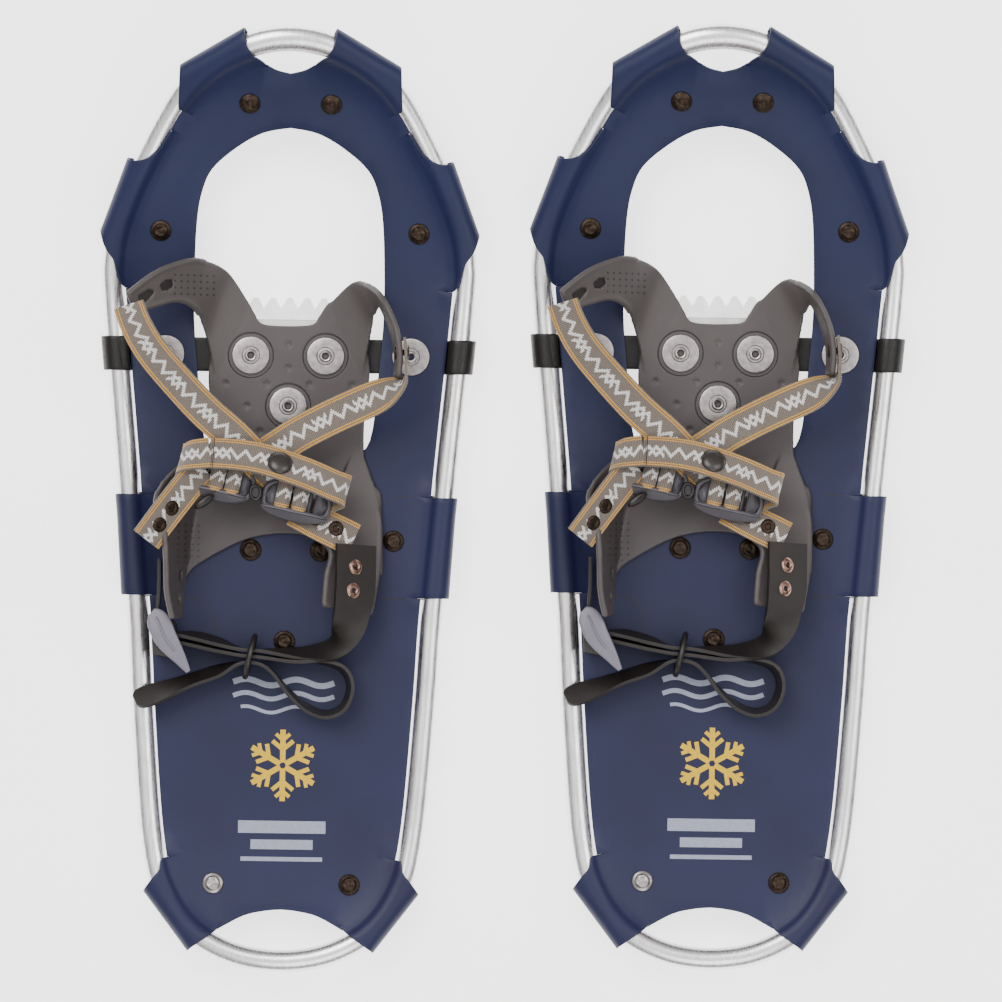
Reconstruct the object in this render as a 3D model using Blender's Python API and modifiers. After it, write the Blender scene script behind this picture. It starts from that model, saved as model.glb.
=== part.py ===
"""A pair of child's snowshoes: bent aluminium tube frames, wrapped decks and pivoting strap bindings.

Lengths in this file are millimetres in each shoe's own frame and become metres when a mesh is made.
Shoe frame: +X right, +Y toward the toe, and height h above the middle of the frame tube.
"""

import math

import bmesh
import bpy
from mathutils import Matrix, Vector

MM = 0.001

# Driving dimensions
SHOE_GAP = 221.0            # between the two shoes' middle lines
SHOE_STAGGER = 4.1          # how far the right shoe lies ahead of the left one
TUBE_HEIGHT = 18.0          # middle of the tube above the teeth's tips
TUBE_RADIUS = 5.75
TOE_BEND_START = 100.0      # the shoe curves up ahead of here
TOE_BEND_RADIUS = 250.0
TAIL_BEND_START = -150.0
TAIL_BEND_RADIUS = 600.0
DECK_BOTTOM = 0.6
DECK_THICKNESS = 1.2
DECK_GAP = 0.8              # between the deck's edge and the tube
DECK_END_X = 20.0            # the deck leaves the tube's line for its toe and tail edges past these
DECK_END_Y = -220.0
FLAP_THICKNESS = 1.0
GAP = 0.3                   # between pieces that touch
RAIL_STEPS = 2              # straight steps of tube between two points of its outline
FINER = 6                   # a finer rail, for finding places on it
FLAP_GAP = 0.5              # the flaps follow the tube's bends in straight steps
PIVOT_Y = 75.4              # the toe cord's line
CORD_WIDTH = 17.5
CORD_THICKNESS = 2.0
CORD_MIDDLE = -0.9
PLATE_THICKNESS = 3.0
WING_THICKNESS = 2.5
WEBBING_WIDTH = 18.0
WEBBING_THICKNESS = 1.4
STRAP_WIDTH = 15.0
STRAP_THICKNESS = 1.8
CRAMPON_THICKNESS = 1.6
SHANK = 1.8                 # radius of every rivet's shank
RIVET_HOLE = 2.3
TOOTH_TIP = -TUBE_HEIGHT
HEEL_AXIS_Y = -30.0         # where the heel strap hinges on the wings
HEEL_AXIS_H = 28.5
LEVER_PIVOT = (-66.2, -56.1, 23.5)
RING_CENTRE = (-17.2, -79.6, 14.4)

DECK_TOP = DECK_BOTTOM + DECK_THICKNESS
PLATE_BOTTOM = DECK_TOP + GAP
PLATE_TOP = PLATE_BOTTOM + PLATE_THICKNESS

# Half outline of the frame's outer edge, from toe to tail
FRAME_EDGE = [(0, 242), (30, 235.2), (57.6, 214.5), (80, 175.9), (92.4, 146), (96.4, 125),
              (96, 103.8), (88.9, 26.6), (81.9, -50.7), (78.8, -102), (74.8, -155.7),
              (71.2, -183.5), (66.5, -200), (57, -217), (43.3, -229.9), (23, -239), (0, -242)]
DECK_TOE = [(0, 219.5), (12.5, 223.5), (16.5, 225.5)]
DECK_TAIL = [(30, -218.5), (19.3, -213.4), (0, -210)]
TOE_HOLE = [(0, 192.2), (27.5, 182), (40, 171), (45.3, 159), (48.8, 120), (48.8, 95),
            (47, 72), (42.5, 32), (30, 25), (0, 24)]
# Where each wrapped flap starts and ends on the frame's outer edge
FLAPS = {"toe": ((27, 236.5), (54.5, 218)), "shoulder": ((81.5, 173), (95.6, 135)),
         "waist": ((87, 3), (82, -48.8)), "tail": ((69.5, -191), (46.5, -228))}
FLAP_RIVETS = {"toe": (20.9, 204.5), "shoulder": (66.4, 139), "waist": (55.4, -19.5),
               "tail": (35.1, -196.8)}
CORD_RIVET_X = 63.1
CRAMPON_RIVETS = {"toe_left": (-19.2, 75.2), "toe_right": (19.2, 75.2), "arch": (0.3, 49.3)}
HEEL_RIVETS = [(-18, -25), (18, -25), (0, -71.8)]

# Materials: colour, roughness, metallic
FINISHES = {
    "bright_aluminium": ((0.78, 0.78, 0.77), 0.3, 1.0),
    "navy_deck_plastic": ((0.035, 0.048, 0.13), 0.55, 0.0),
    "bronzed_steel": ((0.07, 0.045, 0.035), 0.4, 0.8),
    "bright_steel": ((0.7, 0.68, 0.68), 0.3, 1.0),
    "grey_moulded_plastic": ((0.16, 0.14, 0.14), 0.6, 0.0),
    "crampon_steel": ((0.55, 0.55, 0.56), 0.35, 1.0),
    "patterned_webbing": ((0.35, 0.31, 0.27), 0.85, 0.0),
    "black_rubber": ((0.035, 0.025, 0.022), 0.65, 0.0),
    "buckle_grey_plastic": ((0.16, 0.16, 0.18), 0.5, 0.0),
    "lever_light_plastic": ((0.38, 0.36, 0.41), 0.45, 0.0),
}


def clear_scene():
    for obj in list(bpy.data.objects):
        bpy.data.objects.remove(obj)


def new_collection(name, hidden=False):
    made = bpy.data.collections.new(name)
    made.hide_render = hidden
    bpy.context.scene.collection.children.link(made)
    return made


def material(name):
    made = bpy.data.materials.get(name)
    if made:
        return made
    colour, roughness, metallic = FINISHES[name]
    made = bpy.data.materials.new(name)
    made.use_nodes = True
    shader = made.node_tree.nodes["Principled BSDF"]
    shader.inputs["Base Color"].default_value = (*colour, 1)
    shader.inputs["Roughness"].default_value = roughness
    shader.inputs["Metallic"].default_value = metallic
    return made


# ---------- geometry ----------

def lift(y):
    """(rise, slope angle) of the tube's middle at y: the toe curves up, the tail a little."""
    if y > TOE_BEND_START:
        angle = math.asin(min((y - TOE_BEND_START) / TOE_BEND_RADIUS, 1))
        return TOE_BEND_RADIUS * (1 - math.cos(angle)), angle
    if y < TAIL_BEND_START:
        angle = math.asin((TAIL_BEND_START - y) / TAIL_BEND_RADIUS)
        return TAIL_BEND_RADIUS * (1 - math.cos(angle)), -angle
    return 0.0, 0.0


def lifted(x, y, h):
    """The point h above the shoe's curved middle surface."""
    rise, angle = lift(y)
    return Vector((x, y - h * math.sin(angle), rise + h * math.cos(angle)))


def smooth(points, steps):
    """Points on a Catmull-Rom curve through the given ones."""
    points = [Vector(p) for p in points]
    made = []
    for i in range(len(points) - 1):
        a, b, c, d = (points[min(max(i + k, 0), len(points) - 1)] for k in (-1, 0, 1, 2))
        for s in range(steps):
            t = s / steps
            made.append(((2 * b) + (c - a) * t + (2 * a - 5 * b + 4 * c - d) * t * t
                         + (3 * b - a - 3 * c + d) * t ** 3) / 2)
    return made + [points[-1]]


def mirrored(points):
    """A half outline that starts and ends on the middle line, with its other half."""
    return list(points) + [(-x, y) for x, y in reversed(points[1:-1])]


def frame_rail(steps=RAIL_STEPS):
    """Points on the right half of the tube's middle line, from toe to tail, each with its outward normal."""
    edge = smooth([(*p, 0) for p in FRAME_EDGE], steps)
    rail = []
    for i, point in enumerate(edge):
        along = edge[min(i + 1, len(edge) - 1)] - edge[max(i - 1, 0)]
        normal = Vector((-along.y, along.x, 0)).normalized()
        if i in (0, len(edge) - 1):
            normal = Vector((0, math.copysign(1, point.y), 0))
        rail.append((point - normal * TUBE_RADIUS, normal))
    return rail


def rail_span(start, end):
    """(point, normal) pairs on the right rail between two outer-edge points, at the tube's own bends."""
    rail = frame_rail(RAIL_STEPS * FINER)

    def nearest(target):
        goal = Vector((*target, 0))
        return min(range(len(rail)), key=lambda i: (rail[i][0] + rail[i][1] * TUBE_RADIUS - goal).length)

    first, last = nearest(start), nearest(end)
    bends = [i for i in range(first + 1, last) if i % FINER == 0]
    return [rail[i] for i in [first, *bends, last]]


class Shoe:
    """Holds one shoe's name prefix, place and collections, and adds its objects."""

    def __init__(self, side, x, y, parts, cutters):
        self.side = side
        self.parts = parts
        self.cutters = cutters
        self.booleans = []      # (object, collection, operation), added once everything is in place
        self.origin = Vector((x, y, TUBE_HEIGHT))
        self.frame = self.empty("frame_origin", Vector((0, 0, 0)))
        self.binding = self.empty("binding_pivot", Vector((0, PIVOT_Y, CORD_MIDDLE)))
        self.heel = self.empty("heel_strap_pivot", Vector((0, HEEL_AXIS_Y, HEEL_AXIS_H)))
        self.lever = self.empty("lever_pivot", Vector(LEVER_PIVOT))
        self.ring = self.empty("ring_centre", Vector(RING_CENTRE))

    def empty(self, name, place):
        made = bpy.data.objects.new(f"{self.side}_{name}", None)
        made.location = (self.origin + place) * MM
        self.parts.objects.link(made)
        made["place"] = place
        return made

    def add(self, name, mesh, parent, finish):
        """A mesh in millimetres in the shoe's frame becomes an object in metres under its pivot."""
        mesh.transform(Matrix.Scale(MM, 4) @ Matrix.Translation(-Vector(parent["place"])))
        mesh.materials.append(material(finish))
        made = bpy.data.objects.new(f"{self.side}_{name}", mesh)
        made.parent = parent
        self.parts.objects.link(made)
        return made

    def cutter_group(self, name):
        group = bpy.data.collections.new(f"{self.side}_{name}")
        self.cutters.children.link(group)
        return group

    def helper(self, group, mesh, parent):
        """A mesh that a Boolean joins or cuts."""
        mesh.transform(Matrix.Scale(MM, 4) @ Matrix.Translation(-Vector(parent["place"])))
        made = bpy.data.objects.new(f"{group.name}_{len(group.objects)}", mesh)
        made.parent = parent
        made.hide_render = True
        made.display_type = "WIRE"
        group.objects.link(made)
        return made


def add_boolean(obj, group, operation):
    step = obj.modifiers.new(operation.title(), "BOOLEAN")
    step.operand_type = "COLLECTION"
    step.collection = group
    step.operation = operation
    step.solver = "EXACT"


def to_mesh(bm):
    bmesh.ops.recalc_face_normals(bm, faces=bm.faces)
    mesh = bpy.data.meshes.new("mesh")
    bm.to_mesh(mesh)
    bm.free()
    return mesh


def outline_mesh(splines, thickness):
    """A flat plate from closed 2D outlines, centred on z = 0; inner outlines are holes."""
    curve = bpy.data.curves.new("outline", "CURVE")
    curve.dimensions = "2D"
    curve.fill_mode = "BOTH"
    curve.extrude = thickness / 2
    for points in splines:
        spline = curve.splines.new("POLY")
        spline.points.add(len(points) - 1)
        for slot, point in zip(spline.points, points):
            slot.co = (point[0], point[1], 0, 1)
        spline.use_cyclic_u = True
    holder = bpy.data.objects.new("outline", curve)
    bpy.context.scene.collection.objects.link(holder)
    bpy.context.view_layer.update()
    mesh = bpy.data.meshes.new_from_object(holder.evaluated_get(bpy.context.evaluated_depsgraph_get()))
    bpy.data.objects.remove(holder)
    bm = bmesh.new()
    bm.from_mesh(mesh)
    bmesh.ops.remove_doubles(bm, verts=bm.verts, dist=0.01)
    bmesh.ops.dissolve_limit(bm, angle_limit=math.radians(1), verts=bm.verts, edges=bm.edges)
    return to_mesh(bm)


def loft_mesh(rings):
    """A closed solid from cross-section rings with the same number of points."""
    bm = bmesh.new()
    rows = [[bm.verts.new(p) for p in ring] for ring in rings]
    for a, b in zip(rows, rows[1:]):
        for i in range(len(a)):
            j = (i + 1) % len(a)
            bm.faces.new((a[i], a[j], b[j], b[i]))
    bm.faces.new(rows[0])
    bm.faces.new(rows[-1])
    return to_mesh(bm)


def sheet_mesh(rows, thickness):
    """A solid sheet through a grid of points, half its thickness on each side."""
    bm = bmesh.new()
    grid = [[bm.verts.new(p) for p in row] for row in rows]
    for a, b in zip(grid, grid[1:]):
        for i in range(len(a) - 1):
            bm.faces.new((a[i], a[i + 1], b[i + 1], b[i]))
    mesh = bpy.data.meshes.new("sheet")
    bm.to_mesh(mesh)
    bm.free()
    holder = bpy.data.objects.new("sheet", mesh)
    solid = holder.modifiers.new("Solidify", "SOLIDIFY")
    solid.thickness = thickness
    solid.offset = 0
    solid.use_even_offset = True
    bpy.context.scene.collection.objects.link(holder)
    bpy.context.view_layer.update()
    made = bpy.data.meshes.new_from_object(holder.evaluated_get(bpy.context.evaluated_depsgraph_get()))
    bpy.data.objects.remove(holder)
    bm = bmesh.new()
    bm.from_mesh(made)
    return to_mesh(bm)


def strap_mesh(path, width, thickness, sides):
    """A flat strap along a path. Sides are the width directions at the path's points; None lies level."""
    count = len(path)
    rows = []
    for i, point in enumerate(path):
        along = path[min(i + 1, count - 1)] - path[max(i - 1, 0)]
        across = sides[i] if sides else Vector((-along.y, along.x, 0))
        across = across - across.project(along)
        across.normalize()
        rows.append([point - across * width / 2, point + across * width / 2])
    return sheet_mesh(rows, thickness)


def turned_mesh(profile, segments=10):
    """A solid of revolution about Z; the profile runs down its outer side from axis to axis."""
    bm = bmesh.new()
    for r, z in profile:
        bm.verts.new((r, 0, z))
    bm.verts.ensure_lookup_table()
    for a, b in zip(bm.verts[:-1], bm.verts[1:]):
        bm.edges.new((a, b))
    mesh = bpy.data.meshes.new("profile")
    bm.to_mesh(mesh)
    bm.free()
    holder = bpy.data.objects.new("profile", mesh)
    screw = holder.modifiers.new("Screw", "SCREW")
    screw.steps = segments
    screw.render_steps = segments
    screw.use_merge_vertices = True
    screw.merge_threshold = 0.0001
    bpy.context.scene.collection.objects.link(holder)
    bpy.context.view_layer.update()
    made = bpy.data.meshes.new_from_object(holder.evaluated_get(bpy.context.evaluated_depsgraph_get()))
    bpy.data.objects.remove(holder)
    bm = bmesh.new()
    bm.from_mesh(made)
    return to_mesh(bm)


def box_mesh(low, high):
    bm = bmesh.new()
    bmesh.ops.create_cube(bm, size=1)
    size = Vector(high) - Vector(low)
    middle = (Vector(high) + Vector(low)) / 2
    bmesh.ops.transform(bm, matrix=Matrix.Translation(middle) @ Matrix.Diagonal((*size, 1)),
                        verts=bm.verts)
    return to_mesh(bm)


def peg_mesh(x, y, low, high, radius, segments=8):
    """A cylinder square to the shoe's surface at (x, y)."""
    mesh = turned_mesh([(0, high), (radius, high), (radius, low), (0, low)], segments)
    return on_surface(mesh, x, y)


def on_surface(mesh, x, y):
    """Stands a mesh made about Z upright on the shoe's curved surface at (x, y)."""
    angle = lift(y)[1]
    mesh.transform(Matrix.Translation(lifted(x, y, 0)) @ Matrix.Rotation(angle, 4, "X"))
    return mesh


# ---------- frame and deck ----------

def frame_tube(shoe):
    """One bent tube, closed into a ring."""
    rail = [point for point, _ in frame_rail()]
    loop = rail + [Vector((-p.x, p.y, 0)) for p in reversed(rail[1:-1])]
    curve = bpy.data.curves.new(f"{shoe.side}_frame_tube", "CURVE")
    curve.dimensions = "3D"
    curve.bevel_depth = TUBE_RADIUS * MM
    curve.bevel_resolution = 2
    spline = curve.splines.new("POLY")
    spline.points.add(len(loop) - 1)
    for slot, point in zip(spline.points, loop):
        slot.co = (*(lifted(point.x, point.y, 0) * MM), 1)
    spline.use_cyclic_u = True
    curve.materials.append(material("bright_aluminium"))
    tube = bpy.data.objects.new(f"{shoe.side}_frame_tube", curve)
    tube.parent = shoe.frame
    shoe.parts.objects.link(tube)


def deck_outline():
    """The deck's flat outline, which follows the inside of the tube."""
    side = [point - normal * (TUBE_RADIUS + DECK_GAP) for point, normal in frame_rail()]
    side = [(p.x, p.y) for p in side if p.x > DECK_END_X and p.y > DECK_END_Y]
    return mirrored([(p.x, p.y) for p in smooth(DECK_TOE, 2)] + side + [(p.x,
                                                                         p.y) for p in smooth(DECK_TAIL,
                                                                                              2)])


def bend_to_surface(mesh, middle, step=20.0):
    """Cuts a flat plate across where the shoe curves, and lays it on the curved surface."""
    bm = bmesh.new()
    bm.from_mesh(mesh)
    lines = [TOE_BEND_START + step * k for k in range(7)]
    lines += [TAIL_BEND_START - step * k for k in range(4)]
    for y in lines:
        geometry = bm.verts[:] + bm.edges[:] + bm.faces[:]
        bmesh.ops.bisect_plane(bm, geom=geometry, plane_co=(0, y, 0), plane_no=(0, 1, 0), dist=0.001)
    for v in bm.verts:
        v.co = lifted(v.co.x, v.co.y, v.co.z + middle)
    bmesh.ops.triangulate(bm, faces=bm.faces)
    return to_mesh(bm)


def flap_profile():
    """(distance outward from the tube's middle, h) of a flap's middle line, from deck top round to below it."""
    radius = TUBE_RADIUS + FLAP_GAP + FLAP_THICKNESS / 2
    middle = DECK_BOTTOM + DECK_THICKNESS / 2
    line = [(-14, middle), (-9, middle + 0.13)]
    for degrees in range(144, -145, -36):
        angle = math.radians(degrees)
        line.append((radius * math.cos(angle), radius * math.sin(angle)))
    return line + [(-9, -0.9), (-27, -0.4)]


def thick_outline(line, thickness):
    """A closed ring round an open line in a plane."""
    line = [Vector(p) for p in line]
    left, right = [], []
    for i, point in enumerate(line):
        along = (line[min(i + 1, len(line) - 1)] - line[max(i - 1, 0)]).normalized()
        normal = Vector((-along.y, along.x))
        left.append(point + normal * thickness / 2)
        right.append(point - normal * thickness / 2)
    return left + right[::-1]


def flap_mesh(flap, side):
    """A flap that wraps over the tube and comes back under the deck."""
    profile = thick_outline(flap_profile(), FLAP_THICKNESS)
    rings = []
    for point, normal in rail_span(*FLAPS[flap]):
        rings.append([lifted(side * (point.x + normal.x * p.x), point.y + normal.y * p.x,
                             p.y) for p in profile])
    return loft_mesh(rings)


def deck(shoe):
    """The deck sheet with its eight wrapped flaps in one piece, drilled for the rivets."""
    hole = mirrored([(p.x, p.y) for p in smooth(TOE_HOLE, 2)])
    flat = outline_mesh([deck_outline(), hole], DECK_THICKNESS)
    made = shoe.add("deck", bend_to_surface(flat, DECK_BOTTOM + DECK_THICKNESS / 2), shoe.frame,
                    "navy_deck_plastic")
    flaps = shoe.cutter_group("flaps")
    holes = shoe.cutter_group("deck_holes")
    for side in (-1, 1):
        for flap, (x, y) in FLAP_RIVETS.items():
            shoe.helper(flaps, flap_mesh(flap, side), shoe.frame)
            shoe.helper(holes, peg_mesh(side * x, y, -6, 6, RIVET_HOLE), shoe.frame)
        shoe.helper(holes, peg_mesh(side * CORD_RIVET_X, PIVOT_Y, -6, 6, RIVET_HOLE), shoe.frame)
    for x, y in HEEL_RIVETS:
        shoe.helper(holes, peg_mesh(x, y, -6, 6, RIVET_HOLE), shoe.frame)
    shoe.booleans.append((made, flaps, "UNION"))
    shoe.booleans.append((made, holes, "DIFFERENCE"))


def flap_rivets(shoe):
    """Domed rivets that hold the flaps' ends under the deck."""
    top = DECK_TOP + GAP
    profile = [(0, top + 1.8), (3.8, top + 1.3), (5.3, top), (SHANK, top), (SHANK, -1.6),
               (3.6, -1.6), (3.6, -2.4), (0, -2.4)]
    for side, word in ((-1, "left"), (1, "right")):
        for flap, (x, y) in FLAP_RIVETS.items():
            finish = "bright_steel" if (flap, side) == ("tail", -1) else "bronzed_steel"
            mesh = on_surface(turned_mesh(profile, 8), side * x, y)
            shoe.add(f"{flap}_rivet_{word}", mesh, shoe.frame, finish)


def washer_profile(top, bottom):
    """A broad washer with a tubular rivet through it, from the washer's underside to the rivet's flare."""
    return [(0, top + 0.9), (1.3, top + 1.9), (3.1, top + 1.9), (3.4, top + 1.0), (9.65, top + 1.0),
            (9.65, top),
            (SHANK, top), (SHANK, bottom), (3.6, bottom), (3.6, bottom - 1.0), (0, bottom - 1.0)]


def toe_cord(shoe):
    """The strap that carries the binding: across under the deck, and up round the tube at each side."""
    ends = [cord_section(PIVOT_Y + side * CORD_WIDTH / 2) for side in (-1, 1)]
    made = shoe.add("toe_cord", loft_mesh(ends), shoe.frame, "black_rubber")
    holes = shoe.cutter_group("cord_holes")
    for x in (-CORD_RIVET_X, -19.2, 19.2, CORD_RIVET_X):
        shoe.helper(holes, peg_mesh(x, 75.3, -6, 6, RIVET_HOLE), shoe.frame)
    shoe.booleans.append((made, holes, "DIFFERENCE"))


def cord_section(y):
    """The cord's outline at y, which meets the tube where the tube is at that y."""
    above, below = min(zip(frame_rail(), frame_rail()[1:]),
                       key=lambda pair: abs(pair[0][0].y + pair[1][0].y - 2 * y))
    tube_x = above[0].x + (below[0].x - above[0].x) * (y - above[0].y) / (below[0].y - above[0].y)
    radius = TUBE_RADIUS + GAP + CORD_THICKNESS / 2
    half = [(20, CORD_MIDDLE), (tube_x - 17, CORD_MIDDLE), (tube_x - 10, CORD_MIDDLE - 2)]
    for degrees in range(-140, 141, 28):
        angle = math.radians(degrees)
        half.append((tube_x + radius * math.cos(angle), radius * math.sin(angle)))
    line = [(-x, h) for x, h in reversed(half)] + half
    return [Vector((p.x, y, p.y)) for p in thick_outline(line, CORD_THICKNESS)]


def cord_rivets(shoe):
    for side, word in ((-1, "left"), (1, "right")):
        profile = washer_profile(DECK_TOP + GAP, CORD_MIDDLE - CORD_THICKNESS / 2 - GAP)
        mesh = on_surface(turned_mesh(profile, 10), side * CORD_RIVET_X, PIVOT_Y)
        shoe.add(f"cord_rivet_{word}", mesh, shoe.frame, "bright_steel")


# ---------- crampons ----------

FLANGE_ROOT = 0.5            # how far a toothed flange reaches into its plate


def toothed_flange(width, depth, teeth, foot):
    """A flat strip in XY, from y = 0 down to its teeth at y = -depth; it is foot wide at each tip."""
    pitch = width / teeth
    line = [(-width / 2, FLANGE_ROOT), (-width / 2, -depth * 0.45)]
    for k in range(teeth):
        middle = -width / 2 + pitch * (k + 0.5)
        line += [(middle - foot / 2, -depth), (middle + foot / 2, -depth)]
        if k < teeth - 1:
            line.append((middle + pitch / 2, -depth * 0.5))
    return line + [(width / 2, -depth * 0.45), (width / 2, FLANGE_ROOT)]


def placed_flange(outline, corner, along, down):
    """The strip with its top middle at corner, running along one direction and down another."""
    mesh = outline_mesh([outline], CRAMPON_THICKNESS)
    x = Vector(along).normalized()
    y = -Vector(down).normalized()
    z = x.cross(y).normalized()
    mesh.transform(Matrix.Translation(corner) @ Matrix((x, y, z)).transposed().to_4x4())
    return mesh


def toe_crampon(shoe):
    """A steel plate under the ball of the foot, with a raked front row of teeth and a row down each side."""
    top = CORD_MIDDLE - CORD_THICKNESS / 2 - GAP
    middle = top - CRAMPON_THICKNESS / 2
    plate = outline_mesh([[(-23, 94), (23, 94), (35, 84), (35, 46), (28, 38), (-28, 38), (-35, 46),
                           (-35, 84)]],
                         CRAMPON_THICKNESS)
    plate.transform(Matrix.Translation((0, 0, middle)))
    made = shoe.add("toe_crampon", plate, shoe.binding, "crampon_steel")
    flanges = shoe.cutter_group("toe_crampon_flanges")
    drop = middle - TOOTH_TIP
    rake = Vector((0, 11.5, -drop))
    shoe.helper(flanges, placed_flange(toothed_flange(44, rake.length, 5, 2.4), (0, 93.4, middle),
                                       (1, 0, 0), rake),
                shoe.binding)
    for side in (-1, 1):
        shoe.helper(flanges, placed_flange(toothed_flange(36, drop - 1.2, 3, 2.4),
                                           (side * 34.1, 65, middle),
                                           (0, 1, 0), (0, 0, -1)), shoe.binding)
    holes = shoe.cutter_group("toe_crampon_holes")
    for x, y in CRAMPON_RIVETS.values():
        shoe.helper(holes, peg_mesh(x, y, -9, 2, RIVET_HOLE), shoe.binding)
    shoe.booleans.append((made, flanges, "UNION"))
    shoe.booleans.append((made, holes, "DIFFERENCE"))


def heel_crampon(shoe):
    """A steel wedge under the heel with toothed sides, fixed by three rivets that are one with it."""
    top = DECK_BOTTOM - GAP
    middle = top - CRAMPON_THICKNESS / 2
    plate = outline_mesh([[(-27, -16), (27, -16), (9, -82), (-9, -82)]], CRAMPON_THICKNESS)
    plate.transform(Matrix.Translation((0, 0, middle)))
    made = shoe.add("heel_crampon", plate, shoe.frame, "crampon_steel")
    joined = shoe.cutter_group("heel_crampon_flanges")
    drop = middle - TOOTH_TIP
    for side in (-1, 1):
        along = Vector((side * 18, 66, 0))
        shoe.helper(joined, placed_flange(toothed_flange(62, drop, 4, 2.4), (side * 17.4, -49, middle),
                                          along,
                                          (0, 0, -1)), shoe.frame)
    head = DECK_TOP + GAP
    profile = [(0, head + 1.8), (3.6, head + 1.3), (5.0, head), (SHANK, head), (SHANK, middle),
               (0, middle)]
    for x, y in HEEL_RIVETS:
        mesh = turned_mesh(profile, 8)
        mesh.transform(Matrix.Translation((x, y, 0)))
        shoe.helper(joined, mesh, shoe.frame)
    shoe.booleans.append((made, joined, "UNION"))


# ---------- binding ----------

PLATE_FRONT_LEFT = [(-12.2, 91), (-17.8, 96.9), (-21.3, 104.3), (-27, 111)]
PLATE_LEFT = [(-35, 96), (-40.8, 68), (-39.4, 46), (-39.5, 30), (-44, 12), (-49, -8), (-51.8, -38)]
PLATE_REAR = [(-46.4, -33.8), (-32.6, -25.4), (-17.8, -18.8), (0, -16.4), (17.8, -18.8), (32.6, -25.4),
              (46.4, -33.8)]
PLATE_RIGHT = [(50, -36), (49.3, -8), (48.3, 5.4), (42.7, 11.5), (39.8, 24), (39.8, 46), (42, 70),
               (36, 92)]
PLATE_FRONT_RIGHT = [(29, 108), (23.5, 109), (19.4, 102), (15.4, 95.3), (10.6, 91)]

# Wing surfaces: rows of (lower edge, upper edge) points from the root on the plate to the free tip
PLATE_MIDDLE = PLATE_BOTTOM + PLATE_THICKNESS / 2
WINGS = {
    "front_left": [((-37, 62, PLATE_MIDDLE), (-20, 101, PLATE_MIDDLE)), ((-42, 84, 8), (-32, 118, 9)),
                   ((-47, 97, 18), (-46, 123.5, 26)), ((-55.5, 101.8, 29), (-58, 121, 35)),
                   ((-66, 99.5, 36), (-69, 115.5, 42)), ((-76.5, 95.5, 41), (-81, 106, 46))],
    "front_right": [((38, 62, PLATE_MIDDLE), (20, 101, PLATE_MIDDLE)), ((42.5, 88, 8), (33, 113.3, 9)),
                    ((44, 98, 14), (42, 111, 25)), ((47.4, 101.5, 22), (49.3, 103.5, 40)),
                    ((53.5, 88, 27), (55.9, 89, 44)), ((56, 76, 28), (58, 76, 45)), ((55.8, 66, 28),
                                                                                     (57.6, 66, 44))],
    "rear_left": [((-36, 27, PLATE_MIDDLE), (-39, 30, PLATE_MIDDLE)),
                  ((-43, 10, PLATE_MIDDLE), (-58, 15, 24)),
                  ((-47, -6, PLATE_MIDDLE), (-66, 1, 35)), ((-50, -22, PLATE_MIDDLE), (-61.5, -14, 42)),
                  ((-52, -38, 9), (-60, -30, 44)), ((-53, -50, 17), (-59.4, -46, 43)), ((-53.2, -59, 22),
                                                                                        (-56.8, -59,
                                                                                         40))],
    "rear_right": [((38, 28, PLATE_MIDDLE), (34, 26, PLATE_MIDDLE)), ((45, 9, 4.5), (26, 8, 9)),
                   ((48.5, -8, 6), (14, -13, 24)), ((49, -24, 9), (23, -25, 25.5)),
                   ((48, -38, 12), (21, -38, 27.5)), ((45, -56, 16), (20, -52, 28.5))],
}


def wing_mesh(wing):
    """A curved wing with a row of points along its middle that stands a little proud."""
    rows = []
    for low, high in WINGS[wing]:
        low, high = Vector(low), Vector(high)
        rows.append([low, low.lerp(high, 0.5), high])
    return sheet_mesh(rows, WING_THICKNESS)


def harness(shoe):
    """The moulded foot plate with its four wings, drilled for the crampon's rivets."""
    flat = [*PLATE_FRONT_LEFT, *PLATE_LEFT, *PLATE_REAR, *PLATE_RIGHT, *PLATE_FRONT_RIGHT]
    mesh = outline_mesh([flat], PLATE_THICKNESS)
    mesh.transform(Matrix.Translation((0, 0, PLATE_MIDDLE)))
    made = shoe.add("harness", mesh, shoe.binding, "grey_moulded_plastic")
    joined = shoe.cutter_group("harness_wings")
    for wing in WINGS:
        shoe.helper(joined, wing_mesh(wing), shoe.binding)
    pad_bottom = CORD_MIDDLE + CORD_THICKNESS / 2 + GAP
    shoe.helper(joined, box_mesh((-34, 46, pad_bottom), (34, 88, PLATE_MIDDLE)), shoe.binding)
    holes = shoe.cutter_group("harness_holes")
    for x, y in CRAMPON_RIVETS.values():
        shoe.helper(holes, peg_mesh(x, y, -3, 9, RIVET_HOLE), shoe.binding)
    shoe.booleans.append((made, joined, "UNION"))
    shoe.booleans.append((made, holes, "DIFFERENCE"))


def crampon_rivets(shoe):
    bottom = CORD_MIDDLE - CORD_THICKNESS / 2 - CRAMPON_THICKNESS - 2 * GAP
    for word, (x, y) in CRAMPON_RIVETS.items():
        mesh = turned_mesh(washer_profile(PLATE_TOP + GAP, bottom), 10)
        mesh.transform(Matrix.Translation((x, y, 0)))
        shoe.add(f"crampon_rivet_{word}", mesh, shoe.binding, "bright_steel")


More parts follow.
